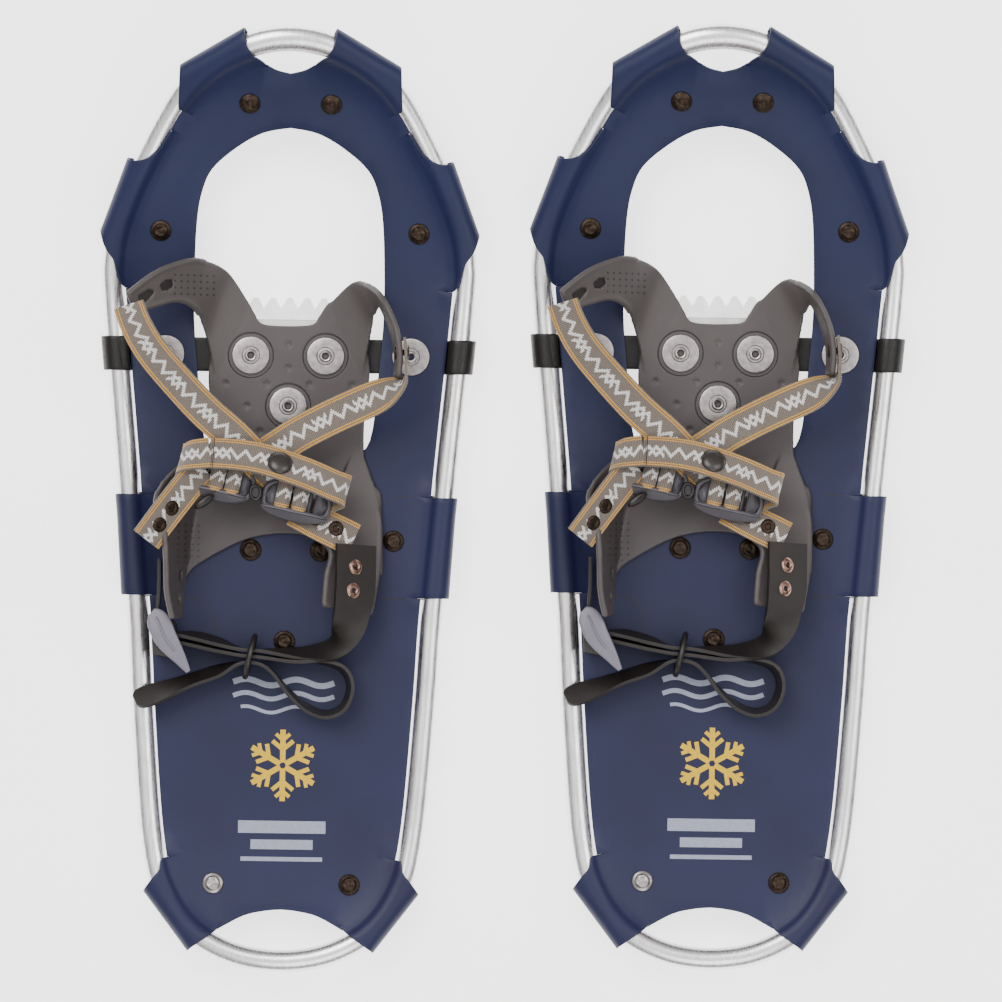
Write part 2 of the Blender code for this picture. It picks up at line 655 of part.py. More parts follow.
WEBBING_ROUTES = {
    # from the left front wing, under the pull strap, over the right adjuster and back as the pull strap
    "front_webbing_left": [(-83, 98, 49), (-69.5, 76, 46), (-54.5, 58.5, 41), (-42, 45.6, 38.5),
                           (-26.7, 31.4, 36.2),
                           (-14, 19, 34.8), (-2, 9, 34), (10, 4.6, 34), (22, 2.2, 34.2), (30, 1.4, 35.4),
                           (33.4, 2.4, 38), (31, 4.6, 40.6), (24, 8.6, 41.4), (10, 15, 41.6), (-9.8,
                                                                                               21.3, 41.6),
                           (-24, 24, 41.6), (-37.4, 24.8, 41.6)],
    # from the right front wing to the left adjuster and back up to the seam
    "front_webbing_right": [(62.4, 99, 34), (62.8, 82, 36), (63.2, 69, 37), (61.6, 60.5, 37),
                            (52, 54.5, 36), (37.4, 47.8, 34),
                            (22, 41, 32.6), (6.7, 33.4, 31.6), (-6, 26, 31.2), (-16, 19.5, 31.7), (-26,
                                                                                                   15.5, 32.7),
                            (-38, 16, 33.4), (-49, 18.2, 34.2), (-55, 19.6, 36), (-56, 20.6, 39), (-51,
                                                                                                   22.4, 41.4),
                            (-40, 24.8, 41.6)],
    "rear_webbing_left": [(-52, 2, 40), (-58, -6, 46), (-64, -13.5, 46.4), (-70, -21.5, 46)],
    "rear_webbing_right": [(17, -11, 28), (24, -14, 27.4), (30, -16.4, 26.4), (34.6, -18.6, 25.3)],
}
UPRIGHT_ROUTE_POINTS = 4    # the right webbing starts on edge, sewn to the wing
PULL_STRAP_START = 20       # past this step of a front webbing's path, both make up the pull strap


def webbing(shoe):
    for name, route in WEBBING_ROUTES.items():
        path = smooth(route, 2)
        sides = []
        for i in range(len(path)):
            along = path[min(i + 1, len(path) - 1)] - path[max(i - 1, 0)]
            flat = Vector((-along.y, along.x, 0)).normalized()
            if name == "front_webbing_right":
                turn = min(max((i / 2 - UPRIGHT_ROUTE_POINTS + 1.5) / 2.5, 0), 1)
                flat = Vector((0, 0, 1)).lerp(flat, turn)
            if name.startswith("front") and i > PULL_STRAP_START:
                flat = Vector((0.25, 1, 0)) * math.copysign(1, flat.y)
            sides.append(flat)
        if name == "rear_webbing_right":
            sides = [Vector((0.5, 0.8, -0.25)) for _ in path]
        mesh = strap_mesh(path, WEBBING_WIDTH, WEBBING_THICKNESS, sides)
        shoe.add(name, mesh, shoe.binding, "patterned_webbing")


ADJUSTERS = {"left": ((-33, 10.5, 29.9), -12), "right": ((6, 0.5, 29.9), -12)}
ADJUSTER_LENGTH = 34.0
ADJUSTER_WIDTH = 19.0
ADJUSTER_THICKNESS = 2.4
ADJUSTER_SLOTS = (-4, 4)       # middles of the two slots
ADJUSTER_SLOT = (2, 6)         # half width and half length of a slot


def adjusters(shoe):
    """Ladder-lock adjusters: a plate with two slots and rounded ends, under the webbing."""
    for word, (place, degrees) in ADJUSTERS.items():
        half_length, half_width = ADJUSTER_LENGTH / 2, ADJUSTER_WIDTH / 2
        rim = [(half_length * math.cos(math.tau * k / 16),
                half_width * math.sin(math.tau * k / 16)) for k in range(16)]
        wide, tall = ADJUSTER_SLOT
        slots = [[(x - wide, -tall), (x + wide, -tall), (x + wide, tall), (x - wide, tall)]
                 for x in ADJUSTER_SLOTS]
        mesh = outline_mesh([rim, *slots], ADJUSTER_THICKNESS)
        mesh.transform(Matrix.Translation(place) @ Matrix.Rotation(math.radians(degrees), 4, "Z"))
        shoe.add(f"adjuster_{word}", mesh, shoe.binding, "buckle_grey_plastic")


PULL_STRAP_HEIGHT = 41.6
SNAP_CENTRE = (-2.5, 19.9, 0)


def snap_button(shoe):
    """The domed press stud on the pull strap."""
    base = PULL_STRAP_HEIGHT + WEBBING_THICKNESS / 2 + GAP
    mesh = turned_mesh([(0, base + 2.6), (4.5, base + 2.1), (6.5, base + 0.8), (6.5, base), (0, base)],
                       14)
    mesh.transform(Matrix.Translation(SNAP_CENTRE))
    shoe.add("snap_button", mesh, shoe.binding, "bronzed_steel")


# ---------- heel strap ----------

# Route with the width direction at each point: it lies on the right wing, turns on edge, passes the
# ring, turns back in the buckle, passes the ring again, loops, and passes it a third time to its end
UPRIGHT = (0, -0.45, 1)
STRAP_ROUTE = [((36.5, -30.5, 25), (1, 0, -0.7)), ((36.5, -43, 26.5), (1, 0, -0.7)),
               ((35, -56, 27.5), (1, -0.1, -0.6)),
               ((32, -67, 23), (0.8, -0.6, -0.1)), ((25, -75, 16), (0.2, -0.7, 0.7)), ((12, -77.6, 13),
                                                                                       UPRIGHT),
               ((0, -77.3, 13), (0, -0.2, 1)), ((-12, -76.6, 14), (0, 0, 1)), ((-22, -76, 14.2),
                                                                               (0, 0, 1)),
               ((-33.5, -72.4, 14.2), (0, -0.2, 1)), ((-46, -69.4, 14),
                                                      (0, -0.2, 1)), ((-57, -68.8, 13.5), (0, 0, 1)),
               ((-61.2, -70.4, 13), (0, 0, 1)), ((-57, -72.1, 13), (0, 0, 1)), ((-46, -73, 13),
                                                                                (0, -0.2, 1)),
               ((-33, -75.8, 13.6), (0, -0.2, 1)), ((-22, -79, 14.2), (0, 0, 1)), ((-12, -79.8, 14.2),
                                                                                   (0, 0, 1)),
               ((6, -81.2, 13), (0, -0.1, 1)), ((20.6, -82, 12), (0, 0, 1)), ((31, -86, 11.5), (0, 0, 1)),
               ((34.5, -95, 11.5), (0, 0, 1)), ((31, -105, 11.5), (0, 0, 1)), ((22.4, -109, 11.5),
                                                                               (0, 0, 1)),
               ((12.7, -106, 11.5), (0, 0, 1)), ((3, -98, 11.5), (0, 0, 1)), ((-5, -88.5, 12.5),
                                                                              (0, 0, 1)),
               ((-12, -83.4, 14), (0, 0, 1)), ((-22, -83.2, 14), (0, 0, 1)), ((-34, -87.6, 13),
                                                                              (0, -0.4, 1)),
               ((-48, -92.5, 12.5), UPRIGHT), ((-62, -98, 14), (0.1, -0.6, 0.8)), ((-76, -103, 17),
                                                                                   (0.2, -0.8, 0.5))]


def heel_strap(shoe):
    path = smooth([point for point, _ in STRAP_ROUTE], 2)
    sides = smooth([side for _, side in STRAP_ROUTE], 2)
    mesh = strap_mesh(path, STRAP_WIDTH, STRAP_THICKNESS, sides)
    shoe.add("heel_strap", mesh, shoe.heel, "black_rubber")


CHEEK = [(-68.5, -58.5), (-66, -55), (-62, -58), (-56, -63), (-53, -76), (-58, -81), (-67, -79)]
CHEEK_THICKNESS = 1.4
CHEEK_TOP = 22.4               # middles of the upper and lower cheek
CHEEK_BOTTOM = 3.8
BUCKLE_BACK = ((-66.6, -78, CHEEK_BOTTOM), (-64.4, -62.6, CHEEK_TOP))
BUCKLE_BAND = ((-65.4, -64, 7), (-63.6, -30, 20.8))


def heel_buckle(shoe):
    """The buckle's two cheeks and back, on a short band that hinges on the left wing."""
    top = outline_mesh([CHEEK], CHEEK_THICKNESS)
    top.transform(Matrix.Translation((0, 0, CHEEK_TOP)))
    made = shoe.add("heel_buckle", top, shoe.heel, "black_rubber")
    joined = shoe.cutter_group("buckle_parts")
    bottom = outline_mesh([CHEEK], CHEEK_THICKNESS)
    bottom.transform(Matrix.Translation((0, 0, CHEEK_BOTTOM)))
    shoe.helper(joined, bottom, shoe.heel)
    shoe.helper(joined, box_mesh(*BUCKLE_BACK), shoe.heel)
    shoe.helper(joined, box_mesh(*BUCKLE_BAND), shoe.heel)
    shoe.booleans.append((made, joined, "UNION"))


LEVER_THICKNESS = 2.6
LEVER_MIDDLE = 24.8


def cam_lever(shoe):
    """The lever that clamps the strap, hinged at its broad end."""
    outline = [(-65.4, -55.8), (-60, -59), (-57.6, -65), (-55.4, -70), (-51.2, -74.2), (-50, -79),
               (-46.8, -87.3),
               (-48.6, -88.6), (-53.5, -83.4), (-59.9, -77.4), (-65.5, -71.5), (-67.6, -65.9), (-69.5,
                                                                                                -60.4)]
    mesh = outline_mesh([outline], LEVER_THICKNESS)
    mesh.transform(Matrix.Translation((0, 0, LEVER_MIDDLE)))
    shoe.add("cam_lever", mesh, shoe.lever, "lever_light_plastic")


RING_SECTION = 1.4             # radius of the ring's rubber
RING_REACH = 10.7              # from the ring's middle to the rubber's


def keeper_ring(shoe):
    """The rubber ring round the three strands of the heel strap."""
    section, reach = RING_SECTION, RING_REACH
    rings = []
    for k in range(16):
        angle = math.tau * k / 16
        out = Vector((0, math.cos(angle), math.sin(angle)))
        rings.append([Vector(RING_CENTRE) + out * (reach + section * math.cos(math.tau * j / 6))
                      + Vector((section * math.sin(math.tau * j / 6), 0, 0)) for j in range(6)])
    bm = bmesh.new()
    rows = [[bm.verts.new(p) for p in ring] for ring in rings]
    for a, b in zip(rows, rows[1:] + rows[:1]):
        for j in range(6):
            bm.faces.new((a[j], a[(j + 1) % 6], b[(j + 1) % 6], b[j]))
    shoe.add("keeper_ring", to_mesh(bm), shoe.ring, "black_rubber")


def build_shoe(shoe):
    frame_tube(shoe)
    deck(shoe)
    flap_rivets(shoe)
    toe_cord(shoe)
    cord_rivets(shoe)
    heel_crampon(shoe)
    toe_crampon(shoe)
    harness(shoe)
    crampon_rivets(shoe)
    webbing(shoe)
    adjusters(shoe)
    snap_button(shoe)
    heel_strap(shoe)
    heel_buckle(shoe)
    cam_lever(shoe)
    keeper_ring(shoe)


def main():
    clear_scene()
    parts = new_collection("snowshoes")
    cutters = new_collection("cutters", hidden=True)
    shoes = [Shoe(side, sign * SHOE_GAP / 2, sign * SHOE_STAGGER / 2, parts, cutters)
             for side, sign in (("left", -1), ("right", 1))]
    for shoe in shoes:
        build_shoe(shoe)
    for shoe in shoes:
        for step in shoe.booleans:
            add_boolean(*step)


main()
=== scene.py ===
"""Looks for a pair of child's snowshoes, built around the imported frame.

Shapes are made in millimetres in each shoe's own frame, as in the CAD source: x to the right, y toward
the toe and h above the middle of the frame tube. Each mesh is made once and placed for both shoes.
"""
import math

import bmesh
import bpy
from mathutils import Matrix, Vector, geometry


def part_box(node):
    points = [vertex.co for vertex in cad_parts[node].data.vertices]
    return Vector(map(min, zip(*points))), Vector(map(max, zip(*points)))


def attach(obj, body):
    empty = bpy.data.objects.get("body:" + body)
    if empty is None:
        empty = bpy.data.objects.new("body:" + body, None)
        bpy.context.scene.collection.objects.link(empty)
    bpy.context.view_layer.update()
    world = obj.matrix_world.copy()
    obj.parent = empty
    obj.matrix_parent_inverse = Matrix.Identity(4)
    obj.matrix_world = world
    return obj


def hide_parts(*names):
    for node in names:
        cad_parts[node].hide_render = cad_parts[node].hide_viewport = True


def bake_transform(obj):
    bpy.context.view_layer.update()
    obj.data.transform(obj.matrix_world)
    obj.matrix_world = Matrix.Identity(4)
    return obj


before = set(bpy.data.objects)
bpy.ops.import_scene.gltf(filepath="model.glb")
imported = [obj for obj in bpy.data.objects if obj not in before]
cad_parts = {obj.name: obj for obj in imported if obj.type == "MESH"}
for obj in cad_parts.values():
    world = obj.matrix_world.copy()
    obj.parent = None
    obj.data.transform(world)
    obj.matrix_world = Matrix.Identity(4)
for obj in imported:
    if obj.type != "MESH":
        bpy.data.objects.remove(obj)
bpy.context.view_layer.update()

MM = 0.001
SIDES = ("left", "right")
TUBE_HEIGHT = 18.0
TUBE_RADIUS = 5.75
TOE_BEND_START = 100.0
TOE_BEND_RADIUS = 250.0
TAIL_BEND_START = -150.0
TAIL_BEND_RADIUS = 600.0
DECK_MIDDLE = 1.2
DECK_TOP = 1.8
PIVOT_Y = 75.4
CORD_MIDDLE = -0.9
CORD_THICKNESS = 2.0
CORD_WIDTH = 17.5
PLATE_BOTTOM = 2.1
PLATE_TOP = 5.1
PLATE_MIDDLE = 3.6


# ---------- camera, lights, floor ----------

CAMERA_HEIGHT = 4.30 + 0.018
CAMERA_ROLL = math.radians(0.8)
LAMPS = {"key": ((-0.8, 1.0, 1.9), 1.3, 36), "fill": ((1.2, 0.3, 1.7), 1.1, 14),
         "back": ((0.2, -1.3, 1.6), 1.1, 10)}
# The sky's light by height, from 0 straight below to 1 straight above
SKY = [(0.05, (0.16, 0.145, 0.145)), (0.5, (0.62, 0.60, 0.60)), (0.95, (1.5, 1.49, 1.48))]


def add_object(name, data):
    obj = bpy.data.objects.new(name, data)
    bpy.context.scene.collection.objects.link(obj)
    return obj


def set_camera():
    """A long lens straight above, so that perspective is slight."""
    camera = bpy.data.cameras.new("camera")
    camera.lens = 300
    camera.sensor_width = 36
    camera.clip_end = 20
    holder = add_object("camera", camera)
    holder.location = (0.0, 0.0, CAMERA_HEIGHT)
    holder.rotation_euler = (0, 0, CAMERA_ROLL)
    bpy.context.scene.camera = holder


def set_floor():
    bpy.ops.mesh.primitive_plane_add(size=8, location=(0, 0, -0.0002))
    floor = bpy.context.object
    floor.name = "floor"
    paint = Nodes("floor_white", {"Roughness": 0.6, "Emission Color": (1, 0.99, 0.985, 1),
                                  "Emission Strength": 2.0})
    paint.span("Base Color", paint.noise(0.02), (0.92, 0.915, 0.91), (0.94, 0.935, 0.93))
    floor.data.materials.append(paint.mat)


def set_light():
    scene = bpy.context.scene
    world = scene.world or bpy.data.worlds.new("world")
    scene.world = world
    world.use_nodes = True
    tree = world.node_tree
    background = tree.nodes["Background"]
    background.inputs["Strength"].default_value = 0.85
    sky = tree.nodes.new("ShaderNodeTexCoord")
    height = tree.nodes.new("ShaderNodeSeparateXYZ")
    tree.links.new(sky.outputs["Generated"], height.inputs[0])
    tree.links.new(colour_ramp(tree, height.outputs[2], SKY), background.inputs["Color"])
    for name, (spot, size, power) in LAMPS.items():
        light = bpy.data.lights.new(name, "AREA")
        light.energy = power
        light.size = size
        lamp = add_object(name, light)
        lamp.location = spot
        lamp.rotation_euler = (-Vector(spot)).to_track_quat("-Z", "Y").to_euler()


# ---------- materials ----------

def colour_ramp(tree, fac, stops):
    """A ramp through (place, colour or grey) stops."""
    node = tree.nodes.new("ShaderNodeValToRGB")
    tree.links.new(fac, node.inputs[0])
    while len(node.color_ramp.elements) < len(stops):
        node.color_ramp.elements.new(0.5)
    for element, (place_on, colour) in zip(node.color_ramp.elements, stops):
        element.position = place_on
        element.color = (*colour, 1) if isinstance(colour, tuple) else (colour, colour, colour, 1)
    return node.outputs[0]


class Nodes:
    """A Principled material with short calls for the nodes it uses."""

    def __init__(self, name, values):
        self.mat = bpy.data.materials.new(name)
        self.mat.use_nodes = True
        self.tree = self.mat.node_tree
        self.shader = self.tree.nodes["Principled BSDF"]
        for socket, value in values.items():
            self.shader.inputs[socket].default_value = value

    def add(self, kind, inputs, out=0, **settings):
        node = self.tree.nodes.new(kind)
        for key, value in settings.items():
            setattr(node, key, value)
        for key, value in inputs.items():
            if isinstance(value, bpy.types.NodeSocket):
                self.tree.links.new(value, node.inputs[key])
            else:
                node.inputs[key].default_value = value
        return node.outputs[out]

    def math(self, operation, a, b=0.0, c=0.5):
        """A Math node; c is added by MULTIPLY_ADD and read by no other operation used here."""
        return self.add("ShaderNodeMath", {0: a, 1: b, 2: c}, operation=operation)

    def mm(self, stretch=(1, 1, 1)):
        """Object coordinates in millimetres."""
        spot = self.add("ShaderNodeTexCoord", {}, out="Object")
        scale = tuple(1000 * s for s in stretch)
        return self.add("ShaderNodeVectorMath", {0: spot, 1: scale}, operation="MULTIPLY")

    def split(self, vector):
        node = self.tree.nodes.new("ShaderNodeSeparateXYZ")
        self.tree.links.new(vector, node.inputs[0])
        return node.outputs

    def noise(self, scale, detail=3.0, rough=0.5, stretch=(1, 1, 1)):
        inputs = {"Vector": self.mm(stretch), "Scale": scale, "Detail": detail, "Roughness": rough}
        return self.add("ShaderNodeTexNoise", inputs)

    def ramp(self, fac, *stops):
        return colour_ramp(self.tree, fac, stops)

    def mix(self, fac, a, b, blend="MIX"):
        node = self.tree.nodes.new("ShaderNodeMix")
        node.data_type = "RGBA"
        node.blend_type = blend
        for slot, value in ((0, fac), (6, a), (7, b)):
            if isinstance(value, bpy.types.NodeSocket):
                self.tree.links.new(value, node.inputs[slot])
            else:
                node.inputs[slot].default_value = value if slot == 0 else (*value, 1)
        return node.outputs[2]

    def span(self, socket, fac, low, high, ends=(0.3, 0.7)):
        """Drives a shader socket from low to high between two values of fac."""
        self.to(socket, self.ramp(fac, *zip(ends, (low, high))))

    def to(self, socket, value):
        self.tree.links.new(value, self.shader.inputs[socket])

    def bump(self, height, distance, strength=1.0):
        inputs = {"Height": height, "Distance": distance, "Strength": strength}
        self.to("Normal", self.add("ShaderNodeBump", inputs))


def plain(name, values, tones, tint, skin, depth, rough=None, tone_ends=(0.3, 0.7), rough_ends=(0.3, 0.7)):
    """A material whose colour follows one noise, and whose bump and roughness follow another.

    values holds Metallic, Roughness and the colour that a renderer without nodes shows; depth is the
    bump's distance and strength.
    """
    metallic, roughness, colour = values
    m = Nodes(name, {"Metallic": metallic, "Roughness": roughness, "Base Color": (*colour, 1)})
    coarse = m.noise(*tint)
    fine = m.noise(*skin) if skin else coarse
    m.span("Base Color", coarse, *tones, tone_ends)
    if rough:
        m.span("Roughness", fine, *rough, rough_ends)
    m.bump(fine, *depth)
    return m


def aluminium():
    return plain("satin_aluminium", (1.0, 0.3, (0.86, 0.85, 0.85)), ((0.82, 0.80, 0.80), (0.93, 0.92, 0.92)),
                 (0.05,), (1.6, 5, 0.5, (1, 0.06, 1)), (0.000006, 0.5), (0.2, 0.42), rough_ends=(0.3, 0.75)).mat


def deck_plastic():
    m = Nodes("navy_deck", {"Roughness": 0.46, "Specular IOR Level": 0.3,
                            "Base Color": (0.03, 0.04, 0.12, 1)})
    along = m.math("MULTIPLY_ADD", m.split(m.mm())[1], 0.002, 0.5)
    base = m.ramp(along, (0.06, (0.0135, 0.0155, 0.052)), (0.45, (0.0098, 0.012, 0.045)),
                  (0.95, (0.0062, 0.0105, 0.046)))
    cloud = m.noise(0.018, 4)
    shade = m.ramp(cloud, (0.3, 0.86), (0.7, 1.12))
    m.to("Base Color", m.mix(1.0, base, shade, "MULTIPLY"))
    skin = m.noise(1.6, 4, 0.6)
    wave = m.noise(0.035, 2)
    m.span("Roughness", skin, 0.4, 0.54)
    m.bump(m.math("MULTIPLY_ADD", wave, 8.0), 0.00004, 0.5)
    return m.mat


def bronzed():
    m = Nodes("bronzed_steel", {"Metallic": 0.85, "Roughness": 0.42,
                                "Base Color": (0.07, 0.045, 0.03, 1)})
    worn = m.noise(0.7, 6, 0.65)
    m.to("Base Color", m.ramp(worn, (0.35, (0.018, 0.012, 0.009)), (0.55, (0.036, 0.023, 0.016)),
                              (0.78, (0.12, 0.08, 0.055))))
    m.span("Roughness", worn, 0.35, 0.55, (0.35, 0.7))
    m.bump(worn, 0.00008, 0.5)
    return m.mat


def copper():
    return plain("worn_copper", (1.0, 0.3, (0.5, 0.3, 0.24)), ((0.15, 0.075, 0.055), (0.40, 0.25, 0.20)),
                 (0.6, 5, 0.6), None, (0.00005, 0.4), tone_ends=(0.35, 0.6)).mat


def bright_steel():
    return plain("bright_steel", (1.0, 0.34, (0.7, 0.66, 0.66)), ((0.25, 0.225, 0.225), (0.44, 0.41, 0.40)),
                 (0.35, 6, 0.6), (3.5, 3), (0.00003, 0.5), (0.26, 0.44)).mat


def crampon_steel():
    return plain("crampon_steel", (1.0, 0.38, (0.74, 0.73, 0.73)), ((0.66, 0.64, 0.64), (0.82, 0.81, 0.80)),
                 (0.08, 4), (1.2, 5, 0.5, (1, 0.08, 1)), (0.00004, 0.5), (0.3, 0.48)).mat


def moulded(name, dark, light, rough):
    return plain(name, (0.0, rough, dark), (dark, light), (0.03, 4), (2.2, 4, 0.6), (0.00005, 0.6),
                 (rough - 0.08, rough + 0.08))


PIT_PITCH = 1.6
PIT_RADIUS = 0.58
PIT_ZONES = [((-58.0, 103.0), (-36.0, 118.0)), ((-55.0, -32.0), (-42.0, -12.0))]


def harness_plastic():
    """Grey moulding with dark dots of painted shade for small pits in a grid near two of its wings."""
    m = moulded("grey_harness", (0.050, 0.041, 0.040), (0.066, 0.055, 0.054), 0.52)
    axes = m.split(m.mm())
    cells = [m.math("POWER", m.math("PINGPONG", axes[axis], PIT_PITCH), 2.0) for axis in (0, 1)]
    painted_pit_shade = m.math("LESS_THAN", m.math("SQRT", m.math("ADD", *cells)), PIT_RADIUS)
    zone = 0.0
    for low, high in PIT_ZONES:
        within = 1.0
        for axis in (0, 1):
            within = m.math("MULTIPLY", within, m.math("GREATER_THAN", axes[axis], low[axis]))
            within = m.math("MULTIPLY", within, m.math("LESS_THAN", axes[axis], high[axis]))
        zone = m.math("MAXIMUM", zone, within)
    painted_pit_shade = m.math("MULTIPLY", painted_pit_shade, zone)
    colour = m.shader.inputs["Base Color"].links[0].from_socket
    # painted shade: the pits are dark dots in the colour only, with no recess in the mesh
    m.to("Base Color", m.mix(painted_pit_shade, colour, (0.014, 0.011, 0.011)))
    return m.mat


RIB = 0.42                   # half the pitch of the webbing's ribs
ZIGZAG = 7.7                 # length of one zigzag
ZIGZAG_REACH = 0.28          # and how far it swings, where 1 is the webbing's edge


def webbing_cloth():
    """Ribbed taupe webbing with two gold lines at each edge and a woven white zigzag down its middle."""
    m = Nodes("patterned_webbing", {"Roughness": 0.8, "Sheen Weight": 0.25,
                                    "Base Color": (0.36, 0.32, 0.28, 1)})
    uv = m.split(m.add("ShaderNodeUVMap", {}, uv_map="strap"))
    signed = m.math("MULTIPLY_ADD", uv[0], 2.0, -1.0)
    across = m.math("ABSOLUTE", signed)
    length = m.math("MULTIPLY", uv[1], 1000.0)
    pick = m.math("SNAP", length, 0.8)
    rib = m.math("DIVIDE", m.math("PINGPONG", length, RIB), RIB)

    def near(value, middle, reach):
        return m.math("LESS_THAN", m.math("ABSOLUTE", m.math("SUBTRACT", value, middle)), reach)

    def zigzag(phase):
        wave = m.math("PINGPONG", m.math("ADD", pick, phase), ZIGZAG / 2)
        return near(signed, m.math("MULTIPLY_ADD", wave, 4 * ZIGZAG_REACH / ZIGZAG, -ZIGZAG_REACH), 0.14)

    gate = m.math("LESS_THAN", m.math("PINGPONG", pick, 1.5 * ZIGZAG), 3.9)
    white = m.math("MAXIMUM", zigzag(0.0), m.math("MULTIPLY", zigzag(ZIGZAG / 2), gate))
    # Each colour below runs darker toward the rib valleys, where the bump sits low: painted shade between the
    # ribs.
    ground = m.ramp(rib, (0.0, (0.07, 0.055, 0.045)), (0.6, (0.165, 0.135, 0.112)),
                    (1.0, (0.20, 0.165, 0.138)))
    cloth = m.mix(white, ground, m.ramp(rib, (0.0, (0.40, 0.38, 0.36)), (0.7, (0.74, 0.72, 0.70))))
    gold = m.math("MAXIMUM", near(across, 0.76, 0.038), near(across, 0.91, 0.038))
    cloth = m.mix(gold, cloth, m.ramp(rib, (0.0, (0.34, 0.15, 0.015)), (0.7, (0.66, 0.34, 0.04))))
    fuzz = m.noise(1.2, 4)
    m.to("Base Color", m.mix(1.0, cloth, m.ramp(fuzz, (0.3, 0.85), (0.7, 1.1)), "MULTIPLY"))
    m.bump(m.math("ADD", rib, m.math("MULTIPLY", white, 0.5)), 0.00018, 0.8)
    return m.mat


def cord_cloth():
    """Black woven webbing, shiny with coating."""
    m = Nodes("black_cord", {"Roughness": 0.34, "Specular IOR Level": 0.35,
                             "Base Color": (0.02, 0.015, 0.013, 1)})
    uv = m.split(m.add("ShaderNodeUVMap", {}, uv_map="strap"))
    rib = m.math("PINGPONG", m.math("MULTIPLY", uv[1], 1000.0), 0.6)
    warp = m.math("PINGPONG", m.math("MULTIPLY", uv[0], 17.5), 0.5)
    weave = m.math("ADD", rib, warp)
    # Darker where the weave's bump sits low: painted shade in the weave's valleys.
    m.span("Base Color", weave, (0.002, 0.0014, 0.0012), (0.007, 0.0048, 0.004), (0.1, 0.9))
    m.span("Roughness", m.noise(0.4), 0.34, 0.5)
    m.bump(weave, 0.00008, 0.5)
    return m.mat


def rubber(name, dark, light, rough):
    return plain(name, (0.0, rough, dark), (dark, light), (0.06, 5), (1.5, 5, 0.65), (0.00006, 0.6),
                 (rough - 0.1, rough + 0.1)).mat


# A flat colour: printed ink, thread, and the painted shade along the deck's creases.
def ink_and_shade(name, colour):
    dull = tuple(c * 0.86 for c in colour)
    return plain(name, (0.0, 0.5, colour), (dull, colour), (0.5, 5), None, (0.00003, 0.4),
                 tone_ends=(0.3, 0.6)).mat


# ---------- shape helpers ----------

def lift(y):
    if y > TOE_BEND_START:
        angle = math.asin(min((y - TOE_BEND_START) / TOE_BEND_RADIUS, 1))
        return TOE_BEND_RADIUS * (1 - math.cos(angle)), angle
    if y < TAIL_BEND_START:
        angle = math.asin((TAIL_BEND_START - y) / TAIL_BEND_RADIUS)
        return TAIL_BEND_RADIUS * (1 - math.cos(angle)), -angle
    return 0.0, 0.0


def lifted(x, y, h):
    rise, angle = lift(y)
    return Vector((x, y - h * math.sin(angle), rise + h * math.cos(angle)))


def unit(value):
    return min(max(value, 0), 1)


def ease(t):
    return t * t * (3 - 2 * t)


def between(a, b, c, d, t):
    """A point of the smooth curve from b to c, with a and d as its neighbours."""
    return (2 * b + (c - a) * t + (2 * a - 5 * b + 4 * c - d) * t * t + (3 * b - a - 3 * c + d) * t ** 3) / 2


def smooth(points, steps):
    points = [Vector(p) for p in points]
    made = []
    for i in range(len(points) - 1):
        near = [points[min(max(i + k, 0), len(points) - 1)] for k in (-1, 0, 1, 2)]
        made += [between(*near, s / steps) for s in range(steps)]
    return made + [points[-1]]


def smooth_plan(points, steps):
    return smooth([(*p, 0) for p in points], steps)


def heading(path, i):
    """From the point before to the point after."""
    return path[min(i + 1, len(path) - 1)] - path[max(i - 1, 0)]


def squared(side, along):
    """The part of side square to along, one long."""
    return (side - side.project(along)).normalized()


def circle(count):
    """(cosine, sine) pairs round a circle."""
    return [(math.cos(math.tau * k / count), math.sin(math.tau * k / count)) for k in range(count)]


def rounded(value, power):
    """A cosine or sine pushed outward, for a box with round corners."""
    return math.copysign(abs(value) ** power, value)


def make_mesh(name, verts, faces, mats, angle=40, uvs=None):
    """Points in millimetres become a mesh in metres about the shoe's origin."""
    mesh = bpy.data.meshes.new(name)
    mesh.from_pydata([Vector(v) * MM for v in verts], [], faces)
    for mat in mats:
        mesh.materials.append(mat)
    if uvs:
        layer = mesh.uv_layers.new(name="strap")
        for loop in mesh.loops:
            layer.data[loop.index].uv = uvs[loop.vertex_index]
    bm = bmesh.new()
    bm.from_mesh(mesh)
    bmesh.ops.recalc_face_normals(bm, faces=bm.faces)
    bm.to_mesh(mesh)
    bm.free()
    mesh.shade_smooth()
    mesh.set_sharp_from_angle(angle=math.radians(angle))
    return mesh


def join(parts):
    """Parts as one; each is (verts, faces) or (verts, faces, uvs)."""
    verts, faces, uvs = [], [], []
    for some, rings, *marks in parts:
        base = len(verts)
        verts += some
        faces += [tuple(base + i for i in face) for face in rings]
        uvs += marks[0] if marks else []
    return (verts, faces, uvs) if uvs else (verts, faces)


def loft(rings, capped=True, closed=False):
    """Faces between cross-section rings with the same number of points."""
    verts = [Vector(p) for ring in rings for p in ring]
    n = len(rings[0])
    faces = []
    count = len(rings)
    for r in range(count if closed else count - 1):
        a, b = r * n, ((r + 1) % count) * n
        for i in range(n):
            j = (i + 1) % n
            faces.append((a + i, a + j, b + j, b + i))
    if capped and not closed:
        faces.append(tuple(range(n)))
        faces.append(tuple(range((count - 1) * n, count * n)))
    return verts, faces


LOBE_BAND = (1.5, 3.4)       # the radii between which a rivet's head has lobes
LOBE_DEPTH = 0.22


